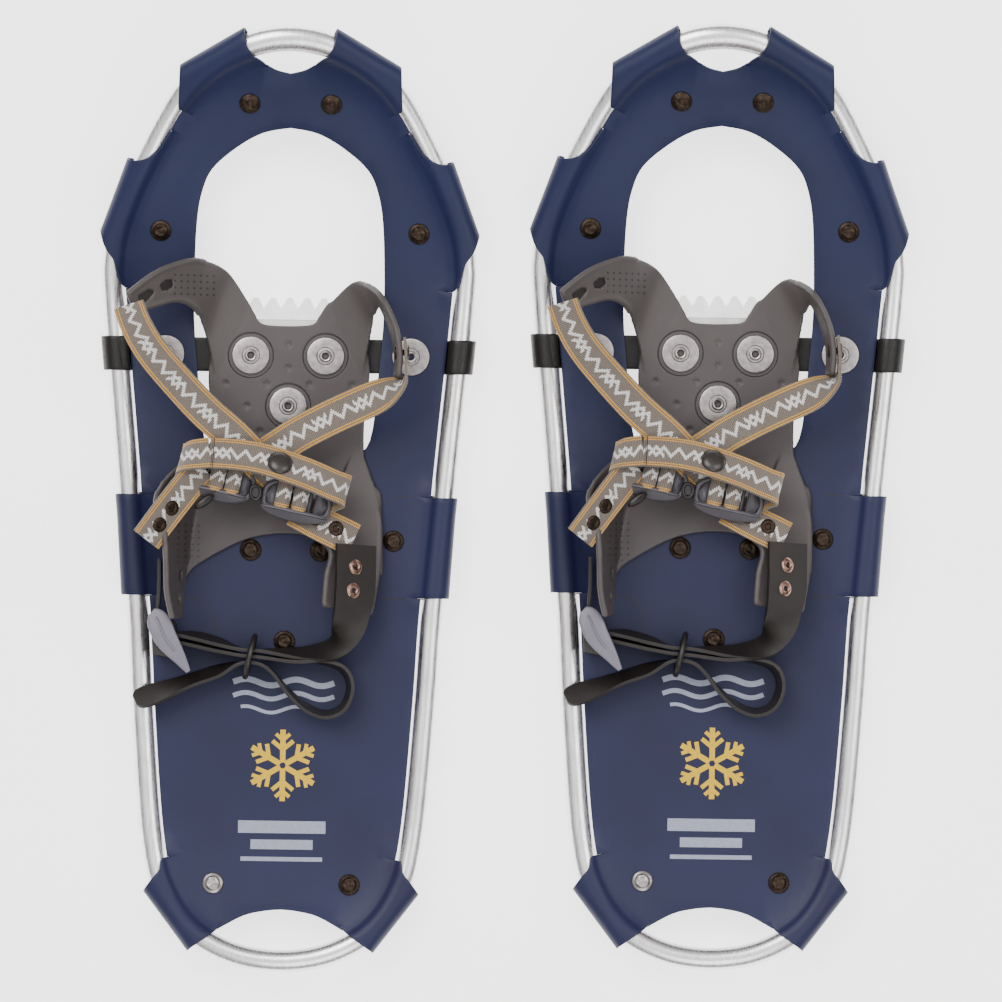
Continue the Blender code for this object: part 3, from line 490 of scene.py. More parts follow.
def turned(profile, segments=40, lobes=0):
    """A turned solid about h; profile runs (radius, h) from the top middle down to the bottom middle."""
    rings = []
    for r, z in profile[1:-1]:
        depth = LOBE_DEPTH if lobes and LOBE_BAND[0] < r < LOBE_BAND[1] else 0
        rings.append([(r * c, r * s, z + depth * math.cos(lobes * math.tau * k / segments))
                      for k, (c, s) in enumerate(circle(segments))])
    verts, faces = loft(rings, capped=False)
    for (_, z), start in ((profile[0], 0), (profile[-1], (len(rings) - 1) * segments)):
        verts.append(Vector((0, 0, z)))
        middle = len(verts) - 1
        faces += [(start + k, start + (k + 1) % segments, middle) for k in range(segments)]
    return verts, faces


def moved(part, matrix):
    verts, faces = part
    return [matrix @ Vector(v) for v in verts], faces


def surface_matrix(x, y):
    return Matrix.Translation(lifted(x, y, 0)) @ Matrix.Rotation(lift(y)[1], 4, "X")


def tube_along(path, radius, segments=10, closed=False):
    """A round bar along a path."""
    rings = []
    side = None
    for i, point in enumerate(path):
        along = path[(i + 1) % len(path)] - path[i - 1] if closed else heading(path, i)
        along.normalize()
        side = squared(side or along.orthogonal(), along)
        up = along.cross(side)
        rings.append([point + (side * c + up * s) * radius for c, s in circle(segments)])
    return loft(rings, closed=closed)


def strip(path, sides, width, thickness, across=12, taper=None):
    """A flat strap along a path, with rounded edges. Gives verts, faces and (across, metres along) pairs."""
    steps = [(-1, 0)] + [(-0.985 + 1.97 * k / across, 0.5) for k in range(across + 1)]
    steps += [(1, 0)] + [(0.985 - 1.97 * k / across, -0.5) for k in range(across + 1)]
    rings, uvs = [], []
    far = 0.0
    for i, point in enumerate(path):
        along = heading(path, i).normalized()
        side = squared(sides[i], along)
        up = along.cross(side)
        far += (point - path[i - 1]).length if i else 0
        half = width / 2 * (taper[i] if taper else 1)
        rings.append([point + side * u * half + up * v * thickness for u, v in steps])
        uvs += [(u / 2 + 0.5, far * MM) for u, _ in steps]
    verts, faces = loft(rings)
    return verts, faces, uvs


def steady(sides):
    """Width directions with no sudden turn over."""
    made = [sides[0].normalized()]
    for side in sides[1:]:
        side = side.normalized()
        made.append(-side if side.dot(made[-1]) < 0 else side)
    return made


def slab(outline, low, high, edge=0.4):
    """A flat plate with rounded edges from a closed outline without holes."""
    pts = [Vector((p[0], p[1], 0)) for p in outline]
    count = len(pts)
    area = sum(pts[i].x * pts[(i + 1) % count].y - pts[(i + 1) % count].x * pts[i].y for i in range(count))
    sign = -1 if area > 0 else 1
    inner = []
    for i in range(count):
        along = (pts[(i + 1) % count] - pts[i - 1]).normalized()
        inner.append(pts[i] + Vector((-along.y, along.x, 0)) * -sign * edge)
    rings = [[(p.x, p.y, low) for p in inner], [(p.x, p.y, low + edge) for p in pts],
             [(p.x, p.y, high - edge) for p in pts], [(p.x, p.y, high) for p in inner]]
    return loft(rings)


def place(name, mesh, body, slot, *nodes, own=False):
    """Puts the mesh on both shoes as SIDE_name, riding on SIDE_body and standing for the CAD nodes."""
    made = []
    for side in SIDES:
        obj = add_object(f"{side}_{name}", mesh.copy() if own else mesh)
        obj.location = ORIGINS[side]
        if body:
            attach(obj, f"{side}_{body}")
        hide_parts(*[f"{side}_{node}" for node in nodes])
        made.append(obj)
    return made


def piece(name, part, mat, body, slot, *nodes, angle=40):
    """Makes a part's mesh and places it on both shoes."""
    verts, faces, *uvs = part
    place(name, make_mesh(name, verts, faces, [MATS[mat]], angle, *uvs), body, slot, *nodes)


def thicken(obj, thickness, edge, even=False):
    """Modifiers that give a sheet its thickness and soft edges."""
    solid = obj.modifiers.new("thickness", "SOLIDIFY")
    solid.thickness = thickness * MM
    solid.offset = 0
    solid.use_even_offset = even
    soft = obj.modifiers.new("edge", "BEVEL")
    soft.width = edge * MM
    soft.segments = 2
    soft.limit_method = "ANGLE"
    soft.angle_limit = math.radians(50)


def baked(obj):
    """A mesh of the object with its modifiers applied."""
    bpy.context.view_layer.update()
    graph = bpy.context.evaluated_depsgraph_get()
    return bpy.data.meshes.new_from_object(obj.evaluated_get(graph))


def shoe_origins():
    origins = {}
    for side in SIDES:
        low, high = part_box(f"{side}_frame_tube")
        origins[side] = Vector(((low.x + high.x) / 2, (low.y + high.y) / 2, TUBE_HEIGHT * MM))
    return origins


# ---------- frame tube and deck ----------

FRAME_EDGE = [
    (0, 242), (30, 235.2), (57.6, 214.5), (80, 175.9), (92.4, 146), (96.4, 125), (96, 103.8),
    (88.9, 26.6), (81.9, -50.7), (78.8, -102), (74.8, -155.7), (71.2, -183.5), (66.5, -200), (57, -217),
    (43.3, -229.9), (23, -239), (0, -242)
]
TOE_HOLE = [
    (0, 192.2), (14, 189.5), (27.5, 182), (40, 171), (45.3, 159), (47.8, 144), (48.8, 120), (48.8, 95),
    (47, 72), (42.5, 32), (30, 25), (0, 24)
]
TOE_EDGE = [(0, 219.5), (7, 221.3), (12.5, 224.5)]
TAIL_EDGE = [(32.5, -220.6), (19.3, -213.4), (8, -210.7), (0, -210)]
NOTCH = [(57.4, 203), (58, 198), (61, 191)]
# The side edges of each flap, from its root on the deck out to the corner on its fold
FLAP_SIDES = {
    "toe": ([(12.5, 224.5), (18.6, 229.4), (22.2, 235), (23.8, 240.5)],
            [(57.4, 203), (56.9, 212), (56.6, 221.8)]),
    "shoulder": ([(61, 191), (67, 181.5), (73.4, 177), (78, 175.8), (83.4, 175.2)],
                 [(84.5, 109), (87, 112), (89.9, 123), (95.1, 130.5), (97.2, 138)]),
    "waist": ([(73.5, 3), (87.3, 3)], [(69.5, -48.8), (83.9, -48.8)]),
    "tail": ([(60.5, -184), (61.8, -185.5), (62.5, -190.7), (70.5, -200.9)],
             [(32.5, -220.6), (36.7, -224), (47.3, -231.2)]),
}
ROOT = -10.75                # where a flap leaves the deck, measured outward from the tube's middle
EDGE = -6.55                 # the deck's edge beside the tube


def frame_rail(steps=12):
    """(point, outward normal, distance) along the right half of the tube's middle line."""
    first, last = FRAME_EDGE[1], FRAME_EDGE[-2]
    edge = smooth_plan([(-first[0], first[1]), *FRAME_EDGE, (-last[0], last[1])], steps)[steps:-steps]
    rail = []
    far = 0.0
    for i, point in enumerate(edge):
        along = heading(edge, i)
        normal = Vector((-along.y, along.x, 0)).normalized()
        if i in (0, len(edge) - 1):
            normal = Vector((0, math.copysign(1, point.y), 0))
        place_on = point - normal * TUBE_RADIUS
        far += (place_on - rail[-1][0]).length if rail else 0
        rail.append((place_on, normal, far))
    return rail


RAIL = frame_rail()


def rail_at(s):
    """(point, normal) on the rail at distance s."""
    for (a, na, sa), (b, nb, sb) in zip(RAIL, RAIL[1:]):
        if s <= sb:
            t = max((s - sa) / (sb - sa), 0)
            return a.lerp(b, t), na.lerp(nb, t).normalized()
    return RAIL[-1][0], RAIL[-1][1]


def on_rail(x, y):
    """(s, outward distance) of a plan point."""
    goal = Vector((x, y, 0))
    best = None
    for (a, na, sa), (b, _, sb) in zip(RAIL, RAIL[1:]):
        along = b - a
        t = unit((goal - a).dot(along) / along.length_squared)
        gap = (goal - a.lerp(b, t)).length
        if best is None or gap < best[0]:
            best = (gap, sa + t * (sb - sa), (goal - a.lerp(b, t)).dot(na))
    return best[1], best[2]


def rail_plan(s, d):
    point, normal = rail_at(s)
    return point + normal * d


def tube():
    half = [p for p, _, _ in RAIL]
    loop = half + [Vector((-p.x, p.y, 0)) for p in reversed(half[1:-1])]
    rings = []
    for i, p in enumerate(loop):
        along = (loop[(i + 1) % len(loop)] - loop[i - 1]).normalized()
        out = Vector((along.y, -along.x, 0)) * TUBE_RADIUS
        rings.append([lifted(*(p + out * c).xy, TUBE_RADIUS * s) for c, s in circle(24)])
    piece("tube", loft(rings, closed=True), "aluminium", "frame", "frame_aluminium", "frame_tube",
          angle=80)


def edge_line(side):
    """A flap's side edge as (distance outward, s) pairs with the distance rising."""
    made = []
    for x, y in side:
        s, d = on_rail(x, y)
        if not made:
            made.append((ROOT, s))
        if d > made[-1][0] + 0.05:
            made.append((d, s))
    return made


def edge_s(line, d):
    for (d0, s0), (d1, s1) in zip(line, line[1:]):
        if d <= d1:
            return s0 + (s1 - s0) * max((d - d0) / (d1 - d0), 0)
    return line[-1][1]


TOE_FADE = 42.0              # the raised edge sinks again this far from a flap near the toe
FADE = 14.0                  # and this far elsewhere
SHOULDER_Y = 150.0
RISE_START = -20.0           # the deck starts to climb toward the tube here
RISE_END = -5.24
RISE_TOP = 4.1
DECK_GRID = 6.0


def climb(d):
    """Height of the deck's middle at an outward distance, where it climbs to go over the tube."""
    t = unit((d - RISE_START) / (RISE_END - RISE_START))
    return DECK_MIDDLE + (RISE_TOP - DECK_MIDDLE) * t ** 2.2


WRAP = TUBE_RADIUS + 0.9
WRAP_BELOW = TUBE_RADIUS + 1.1


def flap_rows(reach):
    """(outward, h, plan distance for the side edges) down a flap that folds at the given reach."""
    rows = [(d, climb(d), d) for d in (ROOT, -9.4, -8.0, -6.6)]
    for degrees in range(142, 89, -13):
        angle = math.radians(degrees)
        out = WRAP * math.cos(angle)
        rows.append((out, WRAP * math.sin(angle), out))
    for degrees in range(78, -91, -12):
        angle = math.radians(degrees)
        out = reach * math.cos(angle)
        rows.append((out, WRAP_BELOW * math.sin(angle) if degrees < 0 else WRAP * math.sin(angle),
                     out if degrees > 0 else reach))
    return rows + [(-4, -6.3, reach), (-8, -3.6, reach), (-11, -1.1, reach), (-16, -0.45, reach),
                   (-27, -0.4, reach)]


FLAPS = ("toe", "shoulder", "waist", "tail")


def deck_edge(lines):
    """The right half of the deck's edge, and where each flap starts on it with its places on the rail."""
    outline = smooth_plan(TOE_EDGE, 4)
    roots = {}
    for name, following in zip(FLAPS, (*FLAPS[1:], None)):
        start, end = (line[0][1] for line in lines[name])
        count = max(int((end - start) / 3), 6)
        stations = [start + (end - start) * k / count for k in range(count + 1)]
        roots[name] = (len(outline), stations)
        outline += [rail_plan(s, ROOT) for s in stations]
        if name == "toe":
            outline += smooth_plan(NOTCH, 3)
        elif following:
            gap = lines[following][0][0][1] - end
            steps = int(gap / 5)
            outline += [rail_plan(end + gap * (k + 0.02) / (steps + 0.04),
                                  EDGE) for k in range(steps + 1)]
    return outline + smooth_plan(TAIL_EDGE, 4), roots


def mirrored(half):
    """A closed plan outline from its right half, whose ends are on the middle line."""
    right = [(p.x, p.y) for p in half]
    return right + [(-x, y) for x, y in reversed(right) if abs(x) > 0.01]


def deck_plan(ring, hole):
    """The deck's flat points and triangles, and the new index of each outline point."""
    points = [Vector(p) for p in ring + hole]
    outline = list(points)
    edges = [(i, (i + 1) % len(ring)) for i in range(len(ring))]
    edges += [(len(ring) + i, len(ring) + (i + 1) % len(hole)) for i in range(len(hole))]
    for j in range(-38, 40):
        for i in range(-16, 17):
            p = Vector(((i + 0.5 * (j % 2)) * DECK_GRID, j * DECK_GRID * 0.9))
            if inside(p, ring) and not inside(p, hole) and clear_of(p, outline, 3.2):
                points.append(p)
    plan, _, triangles, origins = geometry.delaunay_2d_cdt(points, edges, [], 0, 0.001)[:4]
    faces = []
    for face in triangles:
        middle = sum((plan[k] for k in face), Vector((0, 0))) / len(face)
        if inside(middle, ring) and not inside(middle, hole):
            faces.append(tuple(face))
    return plan, faces, {old: k for k, source in enumerate(origins) for old in source}


def deck_height(p, spans):
    """Height of the deck's middle, which rises toward the tube only beside the flaps."""
    near_tube = abs(p.x) > 40 or abs(p.y) > 150
    s, d = on_rail(abs(p.x), p.y) if near_tube else (0, 2 * RISE_START)
    off = min(max(a - s, s - b, 0) for a, b in spans)
    weight = 1 - ease(min(off / (TOE_FADE if p.y > SHOULDER_Y else FADE), 1))
    return DECK_MIDDLE + (climb(d) - DECK_MIDDLE) * weight


def deck():
    """The deck and its eight wrapped flaps as one sheet, thickened by a modifier."""
    lines = {name: [edge_line(side) for side in FLAP_SIDES[name]] for name in FLAPS}
    half, roots = deck_edge(lines)
    ring = mirrored(half)
    plan, faces, new_index = deck_plan(ring, mirrored(smooth_plan(TOE_HOLE, 5)))
    spans = [[line[0][1] for line in lines[name]] for name in FLAPS]
    verts = [lifted(p.x, p.y, deck_height(p, spans)) for p in plan]
    for side in (1, -1):
        for name in FLAPS:
            base, stations = roots[name]
            ids = [base + k if side > 0 else len(ring) - (base + k) for k in range(len(stations))]
            add_flap(verts, faces, [new_index[i] for i in ids], lines[name], side, stations)
    mesh = make_mesh("deck", verts, faces, [MATS["deck"]], 35)
    for obj in place("deck_sheet", mesh, "frame", "deck_plastic", "deck"):
        thicken(obj, 1.15, 0.22, even=True)


def inside(p, ring):
    odd = False
    x, y = p[0], p[1]
    for (x0, y0), (x1, y1) in zip(ring, ring[1:] + ring[:1]):
        if (y0 > y) != (y1 > y) and x < (x1 - x0) * (y - y0) / (y1 - y0) + x0:
            odd = not odd
    return odd


def clear_of(p, points, gap):
    return all((p - q).length_squared > gap * gap for q in points)


def add_flap(verts, faces, root, line, side, stations):
    """Hangs a flap's grid of faces on the deck's root vertices."""
    line_a, line_b = line
    corner_a = rail_plan(line_a[-1][1], line_a[-1][0])
    fold = (rail_plan(line_b[-1][1], line_b[-1][0]) - corner_a).normalized()
    outward = Vector((fold.y, -fold.x, 0))
    grid = [root]
    for r in range(1, len(flap_rows(1.0))):
        ids = []
        for c, s in enumerate(stations):
            t = c / (len(root) - 1)
            for _ in range(3):
                point, normal = rail_at(s)
                facing = normal.dot(outward)
                reach = (corner_a - point).dot(outward) / facing if abs(facing) > 0.2 else WRAP
                out, h, plan_d = flap_rows(max(reach, WRAP))[r]
                s = edge_s(line_a, plan_d) * (1 - t) + edge_s(line_b, plan_d) * t
            spot = rail_plan(s, out)
            verts.append(lifted(side * spot.x, spot.y, h))
            ids.append(len(verts) - 1)
        grid.append(ids)
    for a, b in zip(grid, grid[1:]):
        faces += [(a[c], a[c + 1], b[c + 1], b[c]) for c in range(len(root) - 1)]


def cord_side(side):
    """Half of the toe cord: from the middle, under the deck and round the tube."""
    rows, uvs = [], []
    across = 10
    for k in range(across + 1):
        y = PIVOT_Y + CORD_WIDTH * (k / across - 0.5)
        s = on_rail(90, y)[0]
        tube_x = rail_at(s)[0].x
        radius = TUBE_RADIUS + 0.35 + CORD_THICKNESS / 2
        line = [(x, CORD_MIDDLE) for x in (1, 10, 19, 28, 34, 38, 42, 46, 50, 56, 60, tube_x - 17)]
        line += [(tube_x - 13, CORD_MIDDLE - 0.3), (tube_x - 10, CORD_MIDDLE - 1.9)]
        for degrees in range(-140, 141, 14):
            angle = math.radians(degrees)
            line.append((tube_x + radius * math.cos(angle), radius * math.sin(angle)))
        rows.append([Vector((side * x, y, h)) for x, h in line])
        far = 0
        marks = []
        for a, b in zip(line, line[1:] + line[-1:]):
            marks.append((k / across, far * MM))
            far += math.dist(a, b)
        uvs += marks
    n = len(rows[0])
    verts = [p for row in rows for p in row]
    faces = [(r * n + i, r * n + i + 1, (r + 1) * n + i + 1, (r + 1) * n + i)
             for r in range(across) for i in range(n - 1)]
    return verts, faces, uvs


def toe_cord():
    for word, side in zip(SIDES, (-1, 1)):
        verts, faces, uvs = cord_side(side)
        mesh = make_mesh(f"toe_cord_{word}", verts, faces, [MATS["cord"]], 60, uvs)
        for obj, foot in zip(place(f"toe_cord_{word}", mesh, None, "toe_cord_webbing", "toe_cord",
                                   own=True), SIDES):
            thicken(obj, CORD_THICKNESS, 0.5)
            final = baked(obj)
            obj.modifiers.clear()
            obj.data = final
            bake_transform(obj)


# ---------- rivets, washers, prints, painted crease shade ---

FLAP_RIVETS = {"toe": (20.9, 204.5), "shoulder": (66.4, 139), "waist": (55.4, -19.5),
               "tail": (35.1, -196.8)}
HEEL_RIVETS = [(-18, -25), (18, -25), (0, -71.8)]
RIVET_PROFILE = [
    (0, 1.75), (0.7, 1.75), (1.2, 1.55), (1.9, 1.8), (2.6, 1.95), (3.2, 1.8), (3.7, 1.25), (4.2, 0.95),
    (5.1, 0.75), (5.35, 0.5), (5.4, 0.12), (5.2, 0.0), (2, 0.0), (1.8, -3.4), (3.4, -3.5), (3.6, -4.0),
    (3.3, -4.5), (0, -4.6)
]
WASHER_PROFILE = [
    (0, -6.0), (1.3, -6.0), (1.4, 0.6), (1.55, 1.35), (1.95, 1.85), (2.5, 2.0), (2.95, 1.75),
    (3.15, 1.1), (3.3, 0.55), (4.2, 0.5), (4.7, 0.95), (8.7, 1.05), (9.4, 0.9), (9.65, 0.55),
    (9.6, 0.15), (9.3, 0.0), (1.9, 0.0), (1.9, -5.9), (3.5, -5.9), (3.6, -6.8), (0, -7.0)
]


PLATE_WASHERS = {"left": (-19.2, 75.2), "right": (19.2, 75.2), "arch": (0.3, 49.3)}
CORD_WASHER_X = 63.1


def rivets():
    head = turned(RIVET_PROFILE, 36, 3)
    for side, word in zip((-1, 1), SIDES):
        for flap, (x, y) in FLAP_RIVETS.items():
            bare = flap == "tail" and side < 0
            part = moved(head, surface_matrix(side * x, y) @ Matrix.Translation((0, 0, DECK_TOP + 0.15)))
            piece(f"{flap}_rivet_head_{word}", part, "steel" if bare else "bronze", "frame",
                  "bright_steel" if bare else "bronzed_steel", f"{flap}_rivet_{word}", angle=60)
    top = [p for p in RIVET_PROFILE if p[1] >= 0] + [(0, 0)]
    head = turned([(r * 1.02, z + 0.35) for r, z in top], 36, 3)
    for k, (x, y) in enumerate(HEEL_RIVETS):
        part = moved(head, Matrix.Translation((x, y, DECK_TOP + 0.1)))
        piece(f"heel_rivet_head_{k}", part, "bronze", "frame", "bronzed_steel", angle=60)
    washers = [(f"cord_washer_{word}", (x, PIVOT_Y), DECK_TOP, "frame", f"cord_rivet_{word}")
               for word, x in zip(SIDES, (-CORD_WASHER_X, CORD_WASHER_X))]
    washers += [(f"plate_washer_{word}", spot, PLATE_TOP, "binding", f"crampon_rivet_{rivet}")
                for (word, spot), rivet in zip(PLATE_WASHERS.items(), ("toe_left", "toe_right", "arch"))]
    for name, spot, top, body, node in washers:
        part = moved(turned(WASHER_PROFILE, 56), Matrix.Translation((*spot, top + 0.1)))
        piece(name, part, "steel", body, "bright_steel", node, angle=35)


def ribbon(path, width, lift_h=0.06):
    """A printed line, or a line of painted crease shade, that lies on the deck."""
    verts, faces = [], []
    for i, p in enumerate(path):
        along = heading(path, i).normalized()
        side = Vector((-along.y, along.x, 0)) * width / 2
        for q in (p - side, p + side):
            verts.append(lifted(q.x, q.y, DECK_TOP + lift_h))
        if i:
            k = 2 * i
            faces.append((k - 2, k - 1, k + 1, k))
    return verts, faces


CREASE = [(-57, -49.6), (-46, -50.5), (-40, -54), (-36.5, -61), (-33, -72), (-27, -79)]


def line_of(a, b, steps=5):
    a, b = Vector((*a, 0)), Vector((*b, 0))
    return [a.lerp(b, k / steps) for k in range(steps + 1)]


def prints_and_crease_shade():
    """A snowflake, waves and bars: plain stand-ins for the printed marks; and dark lines of painted shade along
    the deck's creases.
    """
    arms = []
    for k in range(6):
        turn = Matrix.Rotation(math.radians(60 * k), 3, "Z")
        middle = Vector((0, -135.7, 0))

        def spot(x, y, turn=turn, middle=middle):
            return (middle + turn @ Vector((x, y, 0)))[:2]

        arms.append(ribbon(line_of(spot(0, 1.5), spot(0, 18.4)), 2.8, 0.06 + 0.004 * k))
        for side in (-1, 1):
            arms.append(ribbon(line_of(spot(0, 8.2), spot(side * 5.4, 12.6)), 2.2,
                               0.10 + 0.004 * k + 0.013 * side))
            arms.append(ribbon(line_of(spot(0, 13), spot(side * 3.6, 16.2)), 1.9,
                               0.16 + 0.004 * k + 0.013 * side))
    piece("print_snowflake", join(arms), "yellow", "frame", "deck_plastic")
    bars = []
    for y, width, reach in ((-93, 3.0, 26), (-100, 2.4, 26), (-107, 1.8, 22)):
        wave = [(x, y + 1.6 * math.sin(math.tau * x / 26), 0) for x in range(-reach, reach + 1, 2)]
        bars.append(ribbon(smooth(wave, 2), width))
    for y, width, reach in ((-167.5, 6.4, 22.5), (-176.5, 5.0, 16.0), (-184, 2.2, 21.0)):
        bars.append(ribbon(line_of((-reach, y), (reach, y), 12), width))
    piece("print_waves", join(bars), "pale", "frame", "deck_plastic")
    # painted shade: dark lines where the deck folds, not print
    crease_shade = [ribbon(smooth_plan(CREASE, 6), 0.5, 0.12)]
    for side in (-1, 1):
        crease_shade.append(ribbon(line_of((side * 56, 3.2), (side * 77, 3.2), 6), 0.55, 0.14))
        crease_shade.append(ribbon(line_of((side * 50, -49.2), (side * 73, -49.2), 6), 0.55, 0.14))
    piece("deck_crease_shade", join(crease_shade), "crease", "frame", "deck_plastic")


# ---------- harness ----------

PLATE_FRONT_LEFT = [(-12.2, 91), (-17.4, 96.5), (-20.3, 101.5), (-23, 103)]
PLATE_LEFT = [(-35, 96), (-40.8, 68), (-39.4, 46), (-39.5, 30), (-44, 12), (-49, -8), (-51.8, -38)]
PLATE_REAR = [
    (-46.4, -33.8), (-32.6, -25.4), (-17.8, -18.8), (0, -16.4), (17.8, -18.8), (32.6, -25.4),
    (46.4, -33.8)
]
PLATE_RIGHT = [
    (50, -36), (49.3, -8), (48.3, 5.4), (42.7, 11.5), (39.8, 24), (39.8, 46), (42, 70), (36, 92)
]
PLATE_FRONT_RIGHT = [(27, 101.5), (22, 103.2), (19, 101), (15.4, 95.3), (10.6, 91)]
WINGS = {
    "front_left": [
        ((-37, 62, PLATE_MIDDLE), (-20, 101, PLATE_MIDDLE)), ((-42, 84, 8), (-32, 118, 9)),
        ((-47, 97, 18), (-46, 123.5, 26)), ((-55.5, 101.8, 29), (-58, 121, 35)),
        ((-66, 99.5, 36), (-69, 115.5, 42)), ((-76.5, 95.5, 41), (-81, 106, 46))
    ],
    "front_right": [
        ((38, 62, PLATE_MIDDLE), (20, 101, PLATE_MIDDLE)), ((42.5, 88, 8), (33, 113.3, 9)),
        ((44, 98, 14), (42, 111, 25)), ((47.4, 101.5, 22), (49.3, 103.5, 40)),
        ((53.5, 88, 27), (55.9, 89, 44)), ((56, 76, 28), (58, 76, 45)),
        ((55.8, 66, 28), (57.6, 66, 44))
    ],
    "rear_left": [
        ((-36, 27, PLATE_MIDDLE), (-39, 30, PLATE_MIDDLE)), ((-43, 10, PLATE_MIDDLE), (-58, 15, 24)),
        ((-47, -6, PLATE_MIDDLE), (-66, 1, 35)), ((-50, -22, PLATE_MIDDLE), (-61.5, -14, 42)),
        ((-52, -38, 9), (-60, -30, 44)), ((-53, -50, 17), (-59.4, -46, 43)),
        ((-53.2, -59, 22), (-56.8, -59, 40))
    ],
    "rear_right": [
        ((38, 28, PLATE_MIDDLE), (34, 26, PLATE_MIDDLE)), ((45, 9, 4.5), (26, 8, 9)),
        ((48.5, -8, 6), (14, -13, 24)), ((49, -24, 9), (23, -25, 25.5)),
        ((48, -38, 12), (21, -38, 27.5)), ((45, -56, 16), (20, -52, 28.5))
    ],
}
# Holes through the wings: (distance along the wing, across it, half length, half width), each from 0 to 1
WING_SLOTS = {"front_left": [(0.70, 0.5, 0.06, 0.14), (0.885, 0.46, 0.06, 0.17)],
              "rear_left": [(0.70, 0.25, 0.035, 0.09), (0.86, 0.25, 0.04, 0.11)]}
DIMPLES = [
    (0, 81), (0, 69), (-32, 60.5), (-11, 60.5), (11, 60.5), (33, 60.5), (-21, 49), (21, 49), (0, 31),
    (-14, 36), (14, 36)
]
WING_WALL = 2.5
RIM_START = 16               # the wings' rims start this many rows out from the plate
RIM_RADIUS = 1.75
DIMPLE_RADIUS = 2.0
VOXEL = 0.7


def wing_lines(name, steps=9):
    rows = WINGS[name]
    low = smooth([a for a, _ in rows], steps)
    high = smooth([b for _, b in rows], steps)
    return low, high


def wing_shell(name):
    """A smooth wing with open slots, as a closed shell."""
    low, high = wing_lines(name)
    across = 18
    grid = [[a.lerp(b, k / across) for k in range(across + 1)] for a, b in zip(low, high)]
    count = len(grid)
    normals = []
    for i in range(count):
        row = []
        for k in range(across + 1):
            along = heading([line[k] for line in grid], i)
            row.append(along.cross(heading(grid[i], k)).normalized())
        normals.append(row)

    def gone(i, k):
        u, v = (i + 0.5) / (count - 1), (k + 0.5) / across
        return any(((u - cu) / ru) ** 2 + ((v - cv) / rv) ** 2 < 1 for cu, cv, ru,
                   rv in WING_SLOTS.get(name, []))

    n = across + 1
    verts = [grid[i][k] + normals[i][k] * half for half in (WING_WALL / 2, -WING_WALL / 2)
             for i in range(count) for k in range(n)]
    base = count * n
    solid = {(i, k) for i in range(count - 1) for k in range(across) if not gone(i, k)}
    faces = []
    for i, k in solid:
        a, b, c, d = i * n + k, i * n + k + 1, (i + 1) * n + k + 1, (i + 1) * n + k
        faces.append((a, b, c, d))
        faces.append((d + base, c + base, b + base, a + base))
        for ni, nk, p, q in ((i - 1, k, a, b), (i, k + 1, b, c), (i + 1, k, c, d), (i, k - 1, d, a)):
            if (ni, nk) not in solid:
                faces.append((q, p, p + base, q + base))
    return verts, faces


GROOVE_RADIUS = 11.6


def washer_groove_shade():
    """A dark ring of painted shade in the groove pressed into the plate round each of its washers."""
    rings = []
    for x, y in PLATE_WASHERS.values():
        ring = [Vector((x + GROOVE_RADIUS * c, y + GROOVE_RADIUS * s, PLATE_TOP - 0.05)) for c,
                s in circle(60)]
        rings.append(tube_along(ring, 0.3, 8, closed=True))
    piece("washer_groove_shade", join(rings), "black", "binding", "harness_plastic", angle=60)


def slot_shade_sheets():
    """Dark sheets across the wings' slots: painted shade in place of what shows through the open slots."""
    parts = []
    for name, slots in WING_SLOTS.items():
        low, high = wing_lines(name)
        for cu, cv, ru, rv in slots:
            rings = []
            for grow in (0.0, 0.6, 1.25):
                ring = []
                for c, s in circle(20):
                    u = cu + ru * grow * c
                    v = cv + rv * grow * s
                    at = min(max(u, 0), 0.999) * (len(low) - 1)
                    i = int(at)
                    a, b = (line[i].lerp(line[i + 1], at - i) for line in (low, high))
                    ring.append(a.lerp(b, v))
                rings.append(ring)
            parts.append(loft(rings, capped=False))
    piece("wing_slot_shade", join(parts), "black", "binding", "black_rubber", angle=60)


def plate_slab():
    flat = [*PLATE_FRONT_LEFT, *PLATE_LEFT, *PLATE_REAR, *PLATE_RIGHT, *PLATE_FRONT_RIGHT]
    ring = [Vector((*p, 0)) for p in flat]
    fine = []
    for i in range(len(ring)):
        near = [ring[(i + k) % len(ring)] for k in (-1, 0, 1, 2)]
        fine += [between(*near, s / 5) for s in range(5)]
    return loft([[(p.x, p.y, h) for p in fine] for h in (PLATE_BOTTOM, PLATE_TOP)])


